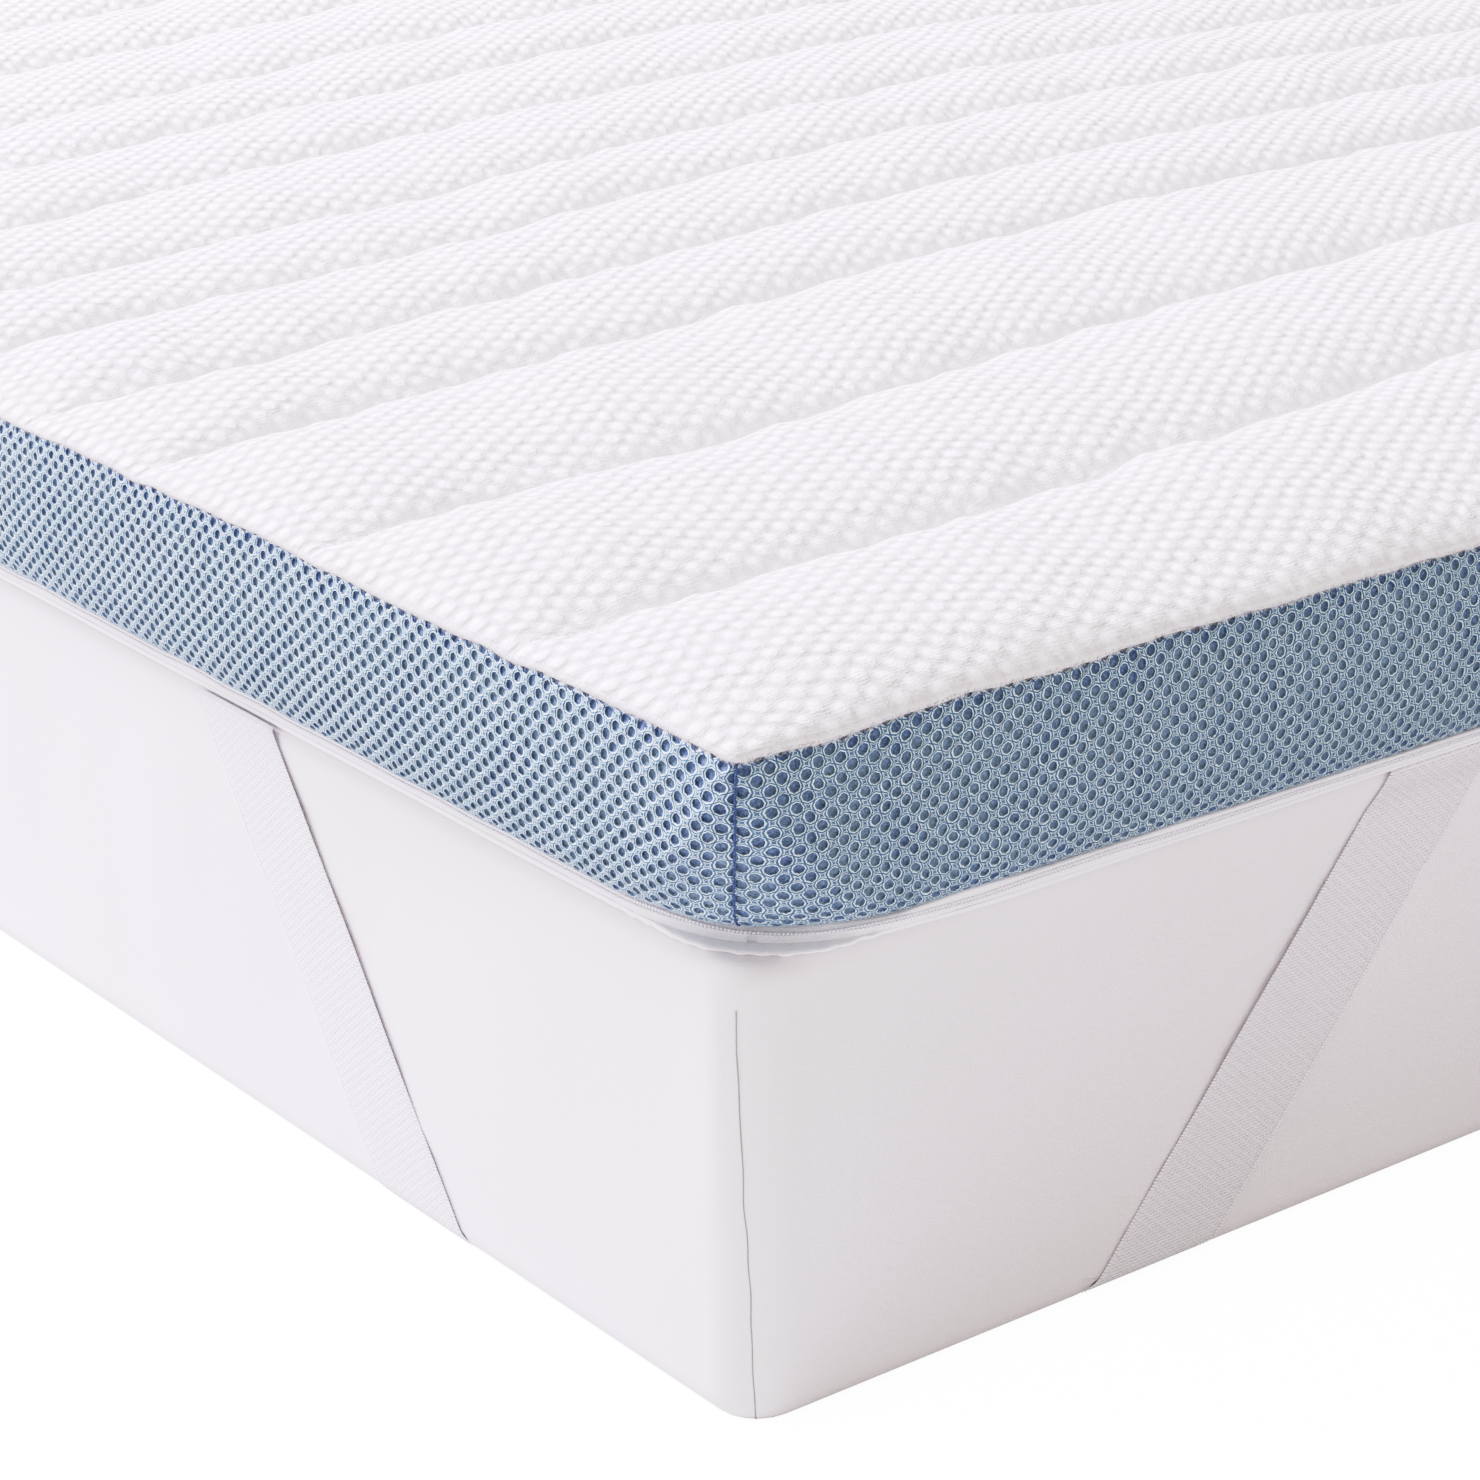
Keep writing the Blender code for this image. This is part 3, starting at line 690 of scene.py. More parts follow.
    # carry the rim's wave a little way into the top
    lift_x = {0: edge_lift(3, HALF_Y - grid[:, 0, 1]),
              last_c: edge_lift(1, HALF_Y + grid[:, last_c, 1])}
    for column, lift in lift_x.items():
        fall = np.exp(-np.abs(xs - xs[column]) / 0.012)
        fall[column] = 0.0
        grid[1:-1, :, 2] += lift[1:-1, None] * fall[None, :]
    for row, side, sign in ((0, 0, 1), (last_r, 2, -1)):
        lift = edge_lift(side, HALF_X + sign * xs)
        fall = np.exp(-np.abs(grid[:, :, 1] - grid[row, 0, 1]) / 0.012)
        fall[row] = 0.0
        grid[1:-1, 1:-1, 2] += (lift[None, :] * fall)[1:-1, 1:-1]
    points = [grid.reshape(-1, 3)]
    faces = grid_faces(n_rows, n_cols)
    index = {ji: ji[0] * n_cols + ji[1] for ji in around}
    previous = [index[ji] for ji in around]
    base = n_rows * n_cols
    m = len(around)
    depth = BAND_THICKNESS + 0.0016
    levels = [ring_points(stations, TOP_EDGE - 0.0008, -0.0002, -0.0002, 0.0056, wave),
              ring_points(stations, TOP_EDGE - 0.0002, -0.0012, -0.0012, 0.0048, wave),
              ring_points(stations, TOP_EDGE - 0.0004, -depth, -depth, 0.0030, wave)]
    for v in (0.22, 0.55, 0.85):
        row = PROFILE[int(v * (len(PROFILE) - 1))]
        levels.append(ring_points(stations, row[0], row[1] - depth, row[2] - depth,
                                  max(row[3] - depth, 0.0015)))
    levels.append(ring_points(stations, 0.0128, FOOT_OUT_END, FOOT_OUT_SIDE, FOOT_CORNER))
    levels.append(ring_points(stations, 0.0024, FOOT_OUT_END, FOOT_OUT_SIDE, FOOT_CORNER))
    for level in levels:
        points.append(level)
        current = list(range(base, base + m))
        for a in range(m):
            b = (a + 1) % m
            faces.append((previous[a], current[a], current[b], previous[b]))
        previous = current
        base += m
    faces.append(tuple(previous))
    points = np.concatenate(points)
    rim_mm = np.zeros(len(points))
    gx, gy = grid[..., 0], grid[..., 1]
    rim_mm[:n_rows * n_cols] = np.minimum(
        np.minimum(HALF_X - np.abs(gx), HALF_Y - np.abs(gy)) * 1000, 60).ravel()
    seam_all = np.full(len(points), 60.0)
    seam_all[:n_rows * n_cols] = seam_mm.ravel()
    piece = make_mesh("quilted_knit_top", points, faces, KNIT,
                      attributes={"seam": seam_all, "rim_mm": rim_mm})
    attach(piece, "root")
    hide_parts("quilted_pad")
    return piece


# ---------------------------------------------------------------- mesh band
# How far the upright seam between two bands has drifted at its lower end, at
# each corner, starting with the front left one. Minus is towards the side before.
SEAM_DRIFT = (-0.0045, 0.0012, -0.0016, 0.0020)
EDGE_DROP = (0.0062, 0.0040, 0.0046, 0.0035)   # rows cut away at each corner


def zip_loops(first, first_t, second, second_t):
    """Triangles between two closed loops, matched by their place round them."""
    a = sorted(range(len(first)), key=lambda i: first_t[i])
    b = sorted(range(len(second)), key=lambda i: second_t[i])
    faces, i, j = [], 0, 0
    while i < len(a) or j < len(b):
        next_a = first_t[a[i + 1]] if i + 1 < len(a) else first_t[a[0]] + 4.0
        next_b = second_t[b[j + 1]] if j + 1 < len(b) else second_t[b[0]] + 4.0
        pa, pb = first[a[i % len(a)]], second[b[j % len(b)]]
        if j >= len(b) or (i < len(a) and next_a <= next_b):
            faces.append((pa, first[a[(i + 1) % len(a)]], pb))
            i += 1
        else:
            faces.append((pa, second[b[(j + 1) % len(b)]], pb))
            j += 1
    return faces


def round_place(x, y, low_x, high_x, low_y, high_y):
    """Place round a rectangle, 0 to 4, for points on its edges."""
    dx, dy = high_x - low_x, high_y - low_y
    gaps = np.stack([y - low_y, high_x - x, high_y - y, x - low_x])
    edge = np.argmin(np.abs(gaps), axis=0)
    share = np.stack([(x - low_x) / dx, (y - low_y) / dy, (high_x - x) / dx,
                      (high_y - y) / dy])
    return edge + np.clip(share[edge, np.arange(len(x))], 0, 0.999999)


def build_net(side, name):
    """A strip of spacer mesh: a web of yarn round staggered holes, each a pit
    down to the inner layer. It is laid out flat, cut to the strip's edges,
    closed by a plain back and then put in its place."""
    length = TOPPER_WIDTH if side % 2 == 0 else TOPPER_LENGTH
    rng = np.random.default_rng(500 + side)
    start, end = side, (side + 1) % 4            # its corners
    drift = Line(560 + side, 0.25, 0.9)
    wander = Line(570 + side, 0.12, 0.5)
    unit = HOLE_PITCH / 4
    stretch = CORNER_STRETCH

    def flat(u, w):
        """Lattice place to metres along the strip and down from its top edge."""
        s = u * unit
        rest = length - 2 * stretch - s
        x = s + stretch * (1 - np.exp(-s / 0.06)) + stretch * np.exp(-rest / 0.06)
        x = np.where(s < 0, s * (1 + stretch / 0.06), x)
        x = np.where(rest < 0, length - rest * (1 + stretch / 0.06), x)
        cut = (EDGE_DROP[start] * np.exp(-np.maximum(x, 0) / 0.045)
               + EDGE_DROP[end] * np.exp(-np.maximum(length - x, 0) / 0.045))
        y = w * HOLE_ROW - 0.0012 - cut + 0.0011 * drift(x)
        x = x + 0.0009 * wander(y * 3 + 0.4 * x)
        return x, y

    n_cols = int((length - 2 * stretch) / HOLE_PITCH) + 3
    n_rows = int((BAND_HEIGHT + 0.012) / (2 * HOLE_ROW)) + 2
    around = ((2, 0), (1, 1), (0, 2), (-1, 1), (-2, 0), (-1, -1), (0, -2), (1, -1))
    keys, places, cells = {}, [], []
    for j in range(-1, n_rows):
        for i in range(-1, n_cols):
            u, w = 4 * i + (3 if j % 2 else 1), 1 + 2 * j
            ids = []
            for a, b in around:
                key = (u + a, w + b)
                if key not in keys:
                    keys[key] = len(places)
                    places.append(key)
                ids.append(keys[key])
            cells.append((u, w, ids))
    places = np.array(places, float)
    n_web, count = len(places), len(cells)
    crossing = (places[:, 0] % 2 == 1) & (places[:, 1] % 2 == 1)
    jitter = rng.normal(0, 1, (n_web, 2)) * (0.05, 0.04)
    wx, wy = flat(places[:, 0] + jitter[:, 0], places[:, 1] + jitter[:, 1])
    wz = np.where(crossing, 0.00022, 0.00002) + rng.normal(0, 0.00007, n_web)
    web = np.stack([wx, wy, wz], 1)
    centre = np.array([(u, w) for u, w, _ in cells], float)
    turn = np.arctan2([b * HOLE_ROW for _, b in around], [a * unit for a, _ in around])
    size = 1 + rng.normal(0, 0.030, count)
    oval = 1 + rng.normal(0, 0.03, count)
    tilt = rng.normal(0, 0.06, count)
    off = rng.normal(0, 0.04, (count, 2))
    rings = []
    for grow, sink in ((1.0, -0.00022), (0.88, -PIT_DEPTH)):
        du = HOLE_LONG * grow * np.cos(turn)[None] * (size * oval)[:, None]
        dw = HOLE_HIGH * grow * np.sin(turn)[None] * (size / oval)[:, None]
        du = du + tilt[:, None] * dw * 0.9
        ru = centre[:, 0, None] + off[:, 0, None] + du + rng.normal(0, 0.03, du.shape)
        rw = centre[:, 1, None] + off[:, 1, None] + dw + rng.normal(0, 0.03, dw.shape)
        x, y = flat(ru, rw)
        rings.append(np.stack([x, y, np.full(x.shape, sink)], -1).reshape(-1, 3))
    points = np.concatenate([web] + rings)
    first, second = n_web, n_web + 8 * count
    ids = np.array([c[2] for c in cells])
    top = first + 8 * np.arange(count)[:, None] + np.arange(8)[None]
    low = top + 8 * count
    quads = np.concatenate([
        np.stack([ids, np.roll(ids, -1, 1), np.roll(top, -1, 1), top], -1).reshape(-1, 4),
        np.stack([top, np.roll(top, -1, 1), np.roll(low, -1, 1), low], -1).reshape(-1, 4)])
    loops = np.concatenate([quads.ravel(), low.ravel()])
    starts = np.concatenate([np.arange(len(quads)) * 4,
                             len(quads) * 4 + np.arange(count) * 8])
    rim, deep = np.zeros(len(points)), np.zeros(len(points))
    rim[:n_web] = np.where(crossing, 1.90, 0.85)       # mm from the nearest hole
    deep[second:] = 1.0
    flat_mesh = bpy.data.meshes.new("flat")
    flat_mesh.vertices.add(len(points))
    flat_mesh.vertices.foreach_set("co", points.astype(np.float32).ravel())
    flat_mesh.loops.add(len(loops))
    flat_mesh.loops.foreach_set("vertex_index", loops.astype(np.int32))
    flat_mesh.polygons.add(len(starts))
    flat_mesh.polygons.foreach_set("loop_start", starts.astype(np.int32))
    flat_mesh.update(calc_edges=True)
    for key, values in (("rim", rim), ("deep", deep)):
        layer = flat_mesh.attributes.new(key, "FLOAT", "POINT")
        layer.data.foreach_set("value", values.astype(np.float32))
    bm = bmesh.new()
    bm.from_mesh(flat_mesh)
    low_x, high_x, low_y, high_y = 0.0003, length - 0.0003, 0.0002, BAND_HEIGHT - 0.0002
    for place, normal in (((low_x, 0, 0), (-1, 0, 0)), ((high_x, 0, 0), (1, 0, 0)),
                          ((0, low_y, 0), (0, -1, 0)), ((0, high_y, 0), (0, 1, 0))):
        bmesh.ops.bisect_plane(bm, geom=bm.verts[:] + bm.edges[:] + bm.faces[:],
                               plane_co=place, plane_no=normal, dist=2e-6,
                               clear_outer=True)
    # slivers that the cut has left loose are dropped
    bm.verts.ensure_lookup_table()
    middle = min(bm.verts, key=lambda v: (v.co.x - length / 2) ** 2
                 + (v.co.y - BAND_HEIGHT / 2) ** 2)
    kept, waiting = {middle}, [middle]
    while waiting:
        for e in waiting.pop().link_edges:
            for v in e.verts:
                if v not in kept:
                    kept.add(v)
                    waiting.append(v)
    bmesh.ops.delete(bm, geom=[v for v in bm.verts if v not in kept], context="VERTS")
    bm.verts.index_update()
    layer_rim, layer_deep = (bm.verts.layers.float[k] for k in ("rim", "deep"))
    points = np.array([v.co for v in bm.verts], float)
    rim = np.array([v[layer_rim] for v in bm.verts])
    deep = np.array([v[layer_deep] for v in bm.verts])
    faces = [tuple(v.index for v in f.verts) for f in bm.faces]
    follow = {}
    for e in bm.edges:                           # its open edge, in face order
        if len(e.link_loops) == 1:
            loop = e.link_loops[0]
            follow[loop.vert.index] = loop.link_loop_next.vert.index
    bm.free()
    bpy.data.meshes.remove(flat_mesh)
    rounds = []
    while follow:
        walk, at = [], next(iter(follow))
        while at in follow:
            walk.append(at)
            at = follow.pop(at)
        rounds.append(walk)
    rounds.sort(key=len)
    border = rounds.pop()
    for walk in rounds:                          # a pit's wall nicked by the cut
        if len(walk) > 12:
            raise RuntimeError(f"{name}: the cut edge is not one loop")
        faces.append(tuple(reversed(walk)))
    base = len(points)
    edge = points[border].copy()
    edge[:, 2] = -BAND_THICKNESS + 0.0002
    n = len(border)
    for i in range(n):
        k = (i + 1) % n
        faces.append((border[k], border[i], base + i, base + k))
    # the back: a coarse grid, joined to the cut edge
    inset = 0.0045
    half = length / 2
    xs = [low_x + inset]
    while xs[-1] < half:
        xs.append(xs[-1] + (0.005 if xs[-1] < CORNER_ZONE else 0.025))
    xs = [x for x in xs if x < half - 0.004]
    xs = np.array(xs + [half] + [length - x for x in reversed(xs)])
    ys = np.linspace(low_y + inset, high_y - inset, 7)
    grid = np.stack(np.meshgrid(xs, ys), -1).reshape(-1, 2)
    grid = np.concatenate([grid, np.full((len(grid), 1), -BAND_THICKNESS + 0.0002)], 1)
    g = base + n
    nx, ny = len(xs), len(ys)
    for j in range(ny - 1):
        for i in range(nx - 1):
            a = g + j * nx + i
            faces.append((a, a + nx, a + nx + 1, a + 1))
    ring = ([i for i in range(nx)] + [j * nx + nx - 1 for j in range(1, ny)]
            + [(ny - 1) * nx + i for i in range(nx - 2, -1, -1)]
            + [j * nx for j in range(ny - 2, 0, -1)])
    faces += zip_loops(
        [base + i for i in range(n)],
        round_place(edge[:, 0], edge[:, 1], low_x, high_x, low_y, high_y),
        [g + i for i in ring],
        round_place(grid[ring][:, 0], grid[ring][:, 1], xs[0], xs[-1], ys[0], ys[-1]))
    points = np.concatenate([points, edge, grid])
    rim = np.concatenate([rim, np.full(n + len(grid), 0.85)])
    deep = np.concatenate([deep, np.zeros(n + len(grid))])
    x, y, z = points.T
    v = y / BAND_HEIGHT
    turn_in = 0.0003 * np.exp(-y / 0.0016) + 0.0008 * np.exp(-(BAND_HEIGHT - y) / 0.0014)
    along = (x + SEAM_DRIFT[start] * v ** 2 * np.exp(-x / 0.05)
             + SEAM_DRIFT[end] * v ** 2 * np.exp(-(length - x) / 0.05))
    ditch = 0.0009 * (np.exp(-(x / 0.0016) ** 2)
                      + np.exp(-((length - x) / 0.0016) ** 2))
    depth = np.where(z > -0.0025, z - turn_in - ditch, z)
    placed = settle(band_point(side, along, v,
                               np.maximum(depth, -BAND_THICKNESS + 0.0002)))
    near_edge = np.minimum(y, BAND_HEIGHT - y)
    near_end = np.minimum(x, length - x)
    # painted shade: pits darken towards the band's top and bottom edges and its corners,
    # with random blotches added
    pit_shade_and_blotch = np.maximum(1 - smoothstep((near_edge - 0.003) / 0.012),
                      0.9 * (1 - smoothstep((near_end - 0.006) / 0.050)))
    blotch = Waves(620 + side, 0.02, 0.09, 12)
    pit_shade_and_blotch = np.clip(pit_shade_and_blotch + 0.30 * blotch(x, y), 0, 1)
    piece = make_mesh(name, placed, faces, NET,
                      attributes={"gap_mm": rim, "deep": deep, "pit_shade_and_blotch": pit_shade_and_blotch,
                                  "top_mm": y * 1000})
    face_outwards(piece)
    return piece


# ---------------------------------------------------------------- zip
def build_zip():
    stations = ring_stations(0.0100, 0.0050)
    wobble = Line(71, 0.05, 0.25)
    m = len(stations)
    lift_wave = 0.00030 * wobble(np.arange(m) * 0.01)
    # two tapes, each a little proud at its folded edge, with the teeth between
    profile = [(0.0112, -0.0012), (0.0107, -0.0001), (0.0098, 0.0002),
               (0.0092, 0.0002), (0.0088, 0.0002), (0.0048, 0.0002),
               (0.0044, 0.0002), (0.0036, 0.0003), (0.0026, 0.0001),
               (0.0019, -0.0005)]
    rings = []
    for lift, out in profile:
        rings.append(ring_points(stations, lift, ZIP_OUT_END + out, ZIP_OUT_SIDE + out,
                                 ZIP_CORNER + out - ZIP_FLARE * (0.0112 - lift),
                                 lift_wave))
    back = [profile[k] for k in (9, 6, 3, 0)]
    for lift, out in back:
        rings.append(ring_points(stations, lift, ZIP_OUT_END + out - 0.0009,
                                 ZIP_OUT_SIDE + out - 0.0009,
                                 ZIP_CORNER - 0.0009 - ZIP_FLARE * (0.0112 - lift),
                                 lift_wave))
    step = np.linalg.norm(np.diff(rings[0], axis=0, append=rings[0][:1]), axis=1)
    run = np.concatenate([[0], np.cumsum(step)[:-1]])
    uv = np.concatenate([np.stack([run, np.full(m, lift)], 1)
                         for lift, _ in profile + back])
    count = len(rings)
    faces = []
    for j in range(count):
        for i in range(m):
            k, n = (j + 1) % count, (i + 1) % m
            faces.append((j * m + i, j * m + n, k * m + n, k * m + i))
    tape = make_mesh("zip_tape_woven", settle(np.concatenate(rings)), faces, TAPE, uv=uv)
    face_outwards(tape)
    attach(tape, "root")
    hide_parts("zip_tape")

    # teeth: two leaning rows that mesh along the middle
    dense = ring_stations(0.0020, 0.0020)
    wave = np.interp(np.linspace(0, 1, len(dense), endpoint=False),
                     np.linspace(0, 1, m, endpoint=False), lift_wave)
    centre = ring_points(dense, 0.0068, ZIP_OUT_END + 0.0004, ZIP_OUT_SIDE + 0.0004,
                         ZIP_CORNER + 0.0004 - ZIP_FLARE * 0.0044, wave)
    closed = np.concatenate([centre, centre[:1]])
    step = np.linalg.norm(np.diff(closed, axis=0), axis=1)
    length = np.concatenate([[0], np.cumsum(step)])
    teeth = int(length[-1] / TOOTH_PITCH)
    at = np.arange(teeth) * length[-1] / teeth
    middle = np.stack([np.interp(at, length, closed[:, k]) for k in range(3)], 1)
    ahead = np.stack([np.interp((at + 0.001) % length[-1], length, closed[:, k])
                      for k in range(3)], 1)
    tangent = ahead - middle
    tangent /= np.maximum(np.linalg.norm(tangent, axis=1), 1e-9)[:, None]
    up = np.array([0.0, 0.0, 1.0])
    outward = np.cross(tangent, up)
    points, faces = [], []
    for row, sign in enumerate((1, -1)):
        mid = middle + tangent * (TOOTH_PITCH / 2 * row) + up * (0.00092 * sign)
        long_axis = up * 0.00122 + tangent * (0.00060 * sign)
        wide = tangent * 0.00076 - up * (0.00028 * sign)
        high = outward * 0.00062
        corner = np.stack([mid + long_axis, mid + wide, mid - long_axis, mid - wide,
                           mid + high, mid - high * 0.9], axis=1)
        points.append(corner.reshape(-1, 3))
        for t in range(teeth):
            o = row * teeth * 6 + 6 * t
            for a in range(4):
                b = (a + 1) % 4
                faces.append((o + a, o + b, o + 4))
                faces.append((o + b, o + a, o + 5))
    coil = make_mesh("zip_teeth", settle(np.concatenate(points)), faces, COIL)
    face_outwards(coil)
    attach(coil, "root")
    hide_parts("zip_coil")
    perimeter = float(run[-1] + step[-1])
    return perimeter


def build_base():
    """Plain woven base of the cover. It swells out under the zip and rolls in."""
    stations = ring_stations(0.0080, 0.0025)
    m = len(stations)
    side_of = np.array([s for s, _ in stations])
    along = np.array([d for _, d in stations])
    length = np.where(side_of % 2 == 0, TOPPER_WIDTH, TOPPER_LENGTH)
    d = np.minimum(along, length - along)
    near_corner = 1 - smoothstep((d - 0.02) / 0.10)
    pucker = Line(81, 0.008, 0.024, 9)(along + 3.1 * side_of)
    slow = Line(82, 0.10, 0.30)(along + 2.3 * side_of)
    # per ring: lift, share of the way from the zip's outline (0) to the base's
    # own (1), extra outwards, how much of the puckers shows
    profile = [(0.0031, 0.0, 0.0003, 0.0), (0.0030, 0.10, 0.0006, 0.15),
               (0.0027, 0.40, 0.0006, 0.5), (0.0022, 0.75, 0.0007, 1.0),
               (0.0015, 1.0, 0.0008, 1.0), (0.0006, 1.0, 0.0006, 0.7),
               (0.0003, 0.9, -0.0012, 0.2), (0.0003, 0.9, -0.0100, 0.0),
               (0.0003, 0.9, -0.0300, 0.0)]
    rings = []
    for lift, share, out, show in profile:
        row = np.zeros((m, 3))
        for side in range(4):
            pick = side_of == side
            extra = out + show * (0.0003 * slow[pick]
                                  + near_corner[pick] * 0.0007 * pucker[pick])
            end = ZIP_OUT_END + (PANEL_OUT_END - ZIP_OUT_END) * share + extra
            wide = ZIP_OUT_SIDE + (PANEL_OUT_SIDE - ZIP_OUT_SIDE) * share + extra
            foot = ZIP_CORNER - ZIP_FLARE * 0.0085
            bend = foot + (PANEL_CORNER - foot) * share + extra
            x, y = ring_xy(side, along[pick], end, wide, bend)
            row[pick, 0], row[pick, 1] = x, y
        row[:, 2] = MATTRESS_HEIGHT + lift
        if lift > 0.001:
            row[:, 2] += show * near_corner * (0.00035 * pucker + 0.0004)
        rings.append(settle(row, 1.0 if out > -0.005 else 0.0))
    inner, between = rings[-1].copy(), rings[-2].copy()
    inner[:, 2] += 0.0008
    between[:, 2] += 0.0008
    start = rings[0].copy()
    start[:, 0] *= 1 - 0.0010 / 0.7
    start[:, 1] *= 1 - 0.0010 / 1.0
    start[:, 2] = MATTRESS_HEIGHT + 0.0016
    rings += [inner, between, settle(start)]
    points = np.concatenate(rings)
    count = len(rings)
    faces = []
    low = (len(profile) - 1) * m
    for j in range(count):
        k = (j + 1) % count
        if j == len(profile) - 1:                    # the two flat skins lie here
            continue
        for i in range(m):
            n = (i + 1) % m
            faces.append((j * m + i, j * m + n, k * m + n, k * m + i))
    faces.append(tuple(range(low, low + m)))
    faces.append(tuple(range(low + m, low + 2 * m)))
    piece = make_mesh("base_cloth", points, faces, PANEL, uv=points[:, :2].copy())
    face_outwards(piece)
    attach(piece, "root")
    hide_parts("base_panel")
    return piece


# ---------------------------------------------------------------- straps
def leg_path():
    """Up one face: (height along the cloth, depth and z of the middle, normal)."""
    rows = []
    inner = MATTRESS_BOTTOM_ROUND
    centre = STRAP_STANDOFF - inner
    bend_z = 0.0003 + STRAP_THICKNESS + inner
    for k in range(9):
        turn = math.pi / 2 * (1 - k / 8)
        c, s = math.cos(turn), math.sin(turn)
        rows.append((bend_z - inner * turn, centre + inner * c, bend_z - inner * s,
                     c, -s))
    shoulder = MATTRESS_HEIGHT - 0.0020
    for z in np.linspace(bend_z, shoulder, 46)[1:]:
        rows.append((z, STRAP_STANDOFF, z, 1.0, 0.0))
    inner = 0.0024                                # tucked in under the base
    for k in range(1, 5):
        turn = math.radians(60) * k / 4
        c, s = math.cos(turn), math.sin(turn)
        rows.append((shoulder + inner * turn, STRAP_STANDOFF - inner * (1 - c),
                     shoulder + inner * s * 0.5, c, s))
    return rows


def tucked(points):
    """How far up towards the cover's lower edge, 0 to 1."""
    return smoothstep((points[..., 2] - MATTRESS_HEIGHT + 0.020) / 0.016)


def build_strap(name, sign_x, sign_y, seed):
    path = leg_path()
    wave_a, wave_b = Line(seed, 0.05, 0.16), Line(seed + 50, 0.05, 0.16)
    sections = []                                 # (near, far, normal) centre points
    for leg, rows in ((0, path[::-1]), (1, path)):
        start, slope, half = END_LEG if leg == 0 else SIDE_LEG
        for height, depth, z, n_out, n_up in rows:
            middle = start + slope * height
            near = middle - half + 0.00035 * wave_a(height + leg)
            far = middle + half + 0.00035 * wave_b(height + leg)
            # the edge nearer the corner stands a little off the mattress
            free = smoothstep((height - 0.012) / 0.03)
            ajar = 0.0002 * free * (0.75 + 0.25 * wave_b(height * 0.7 + leg))
            flush = -0.0003 * free
            if leg == 0:
                n = np.array((0.0, -n_out, n_up))
                a = np.array((-FACE_X + near, -FACE_Y - depth, z)) + n * ajar
                b = np.array((-FACE_X + far, -FACE_Y - depth, z)) + n * flush
            else:
                n = np.array((-n_out, 0.0, n_up))
                a = np.array((-FACE_X - depth, -FACE_Y + near, z)) + n * ajar
                b = np.array((-FACE_X - depth, -FACE_Y + far, z)) + n * flush
            sections.append((a, b, n))
    mirror = np.array((-sign_x, -sign_y, 1.0))
    shares = np.array([0.0, 0.012, 0.045, 0.11, 0.25, 0.4, 0.5, 0.6, 0.75, 0.89, 0.955,
                       0.988, 1.0])
    thin = np.where((shares == 0) | (shares == 1), 0.22,
                    np.where((shares < 0.02) | (shares > 0.98), 0.60, 1.0))
    arch = 0.0004 * np.sin(math.pi * shares)
    outer, inner, uv, edge = [], [], [], []
    run = 0.0
    for k, (a, b, n) in enumerate(sections):
        if k:
            pa, pb, _ = sections[k - 1]
            run += float(np.linalg.norm((a + b - pa - pb) / 2))
        line = a + (b - a) * shares[:, None]
        free = min(1.0, float(smoothstep(np.array((a[2] - 0.012) / 0.03))))
        outer.append((line + n * (STRAP_THICKNESS * 0.8 * thin
                                  + arch * free)[:, None]) * mirror)
        inner.append((line + n * 0.00005 + n * (arch * free)[:, None]) * mirror)
        uv.append(np.stack([shares * 0.050, np.full(len(shares), run)], 1))
        edge.append(np.minimum(shares, 1 - shares) * 50.0)
    n_rows, n_cols = len(sections), len(shares)
    points = np.concatenate(outer + inner)
    faces = grid_faces(n_rows, n_cols) + grid_faces(n_rows, n_cols,
                                                   first=n_rows * n_cols)
    second = n_rows * n_cols
    for j in range(n_rows - 1):
        for i in (0, n_cols - 1):
            a, b = j * n_cols + i, (j + 1) * n_cols + i
            faces.append((a, b, second + b, second + a))
    for j in (0, n_rows - 1):
        for i in range(n_cols - 1):
            a = j * n_cols + i
            faces.append((a, a + 1, second + a + 1, second + a))
    points = settle(points, tucked(points))
    piece = make_mesh(name + "_woven", points, faces, ELASTIC,
                      uv=np.concatenate(uv + uv),
                      attributes={"edge_mm": np.concatenate(edge + edge)})
    face_outwards(piece)
    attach(piece, "root")
    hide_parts(name)
    # picot loops along both edges
    beads, bead_faces = [], []
    base = 0
    for end, inward in ((0, 1.0), (1, -1.0)):
        line = np.array([(s[end] + s[2] * STRAP_THICKNESS * 0.40) for s in sections])
        step = np.linalg.norm(np.diff(line, axis=0), axis=1)
        length = np.concatenate([[0], np.cumsum(step)])
        count = int(length[-1] / PICOT_PITCH)
        at = (np.arange(count) + 0.5) * length[-1] / count
        spot = np.stack([np.interp(at, length, line[:, k]) for k in range(3)], 1)
        cross = np.array([(s[1] - s[0]) for s in sections]) * inward
        cross = np.stack([np.interp(at, length, cross[:, k]) for k in range(3)], 1)
        cross /= np.linalg.norm(cross, axis=1)[:, None]
        normal = np.array([s[2] for s in sections])
        normal = np.stack([np.interp(at, length, normal[:, k]) for k in range(3)], 1)
        normal /= np.linalg.norm(normal, axis=1)[:, None]
        tangent = np.cross(normal, cross)
        tangent /= np.linalg.norm(tangent, axis=1)[:, None]
        spot = spot - cross * 0.00025
        rings = []
        for a in range(4):                        # a low four-sided bead
            turn = 2 * math.pi * a / 4
            rings.append(spot + tangent * 0.00058 * math.cos(turn)
                         + cross * 0.00120 * math.sin(turn))
        top = spot + normal * 0.00085
        low = spot - normal * 0.00040
        block = np.stack(rings + [top, low], axis=1) * mirror
        beads.append(block.reshape(-1, 3))
        for t in range(count):
            o = base + 6 * t
            for a in range(4):
                b = (a + 1) % 4
                bead_faces.append((o + a, o + b, o + 4))
                bead_faces.append((o + b, o + a, o + 5))
        base += 6 * count
    beads = np.concatenate(beads)
    loops = make_mesh(name + "_picots", settle(beads, tucked(beads)), bead_faces, COIL)
    face_outwards(loops)
    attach(loops, "root")
    return run


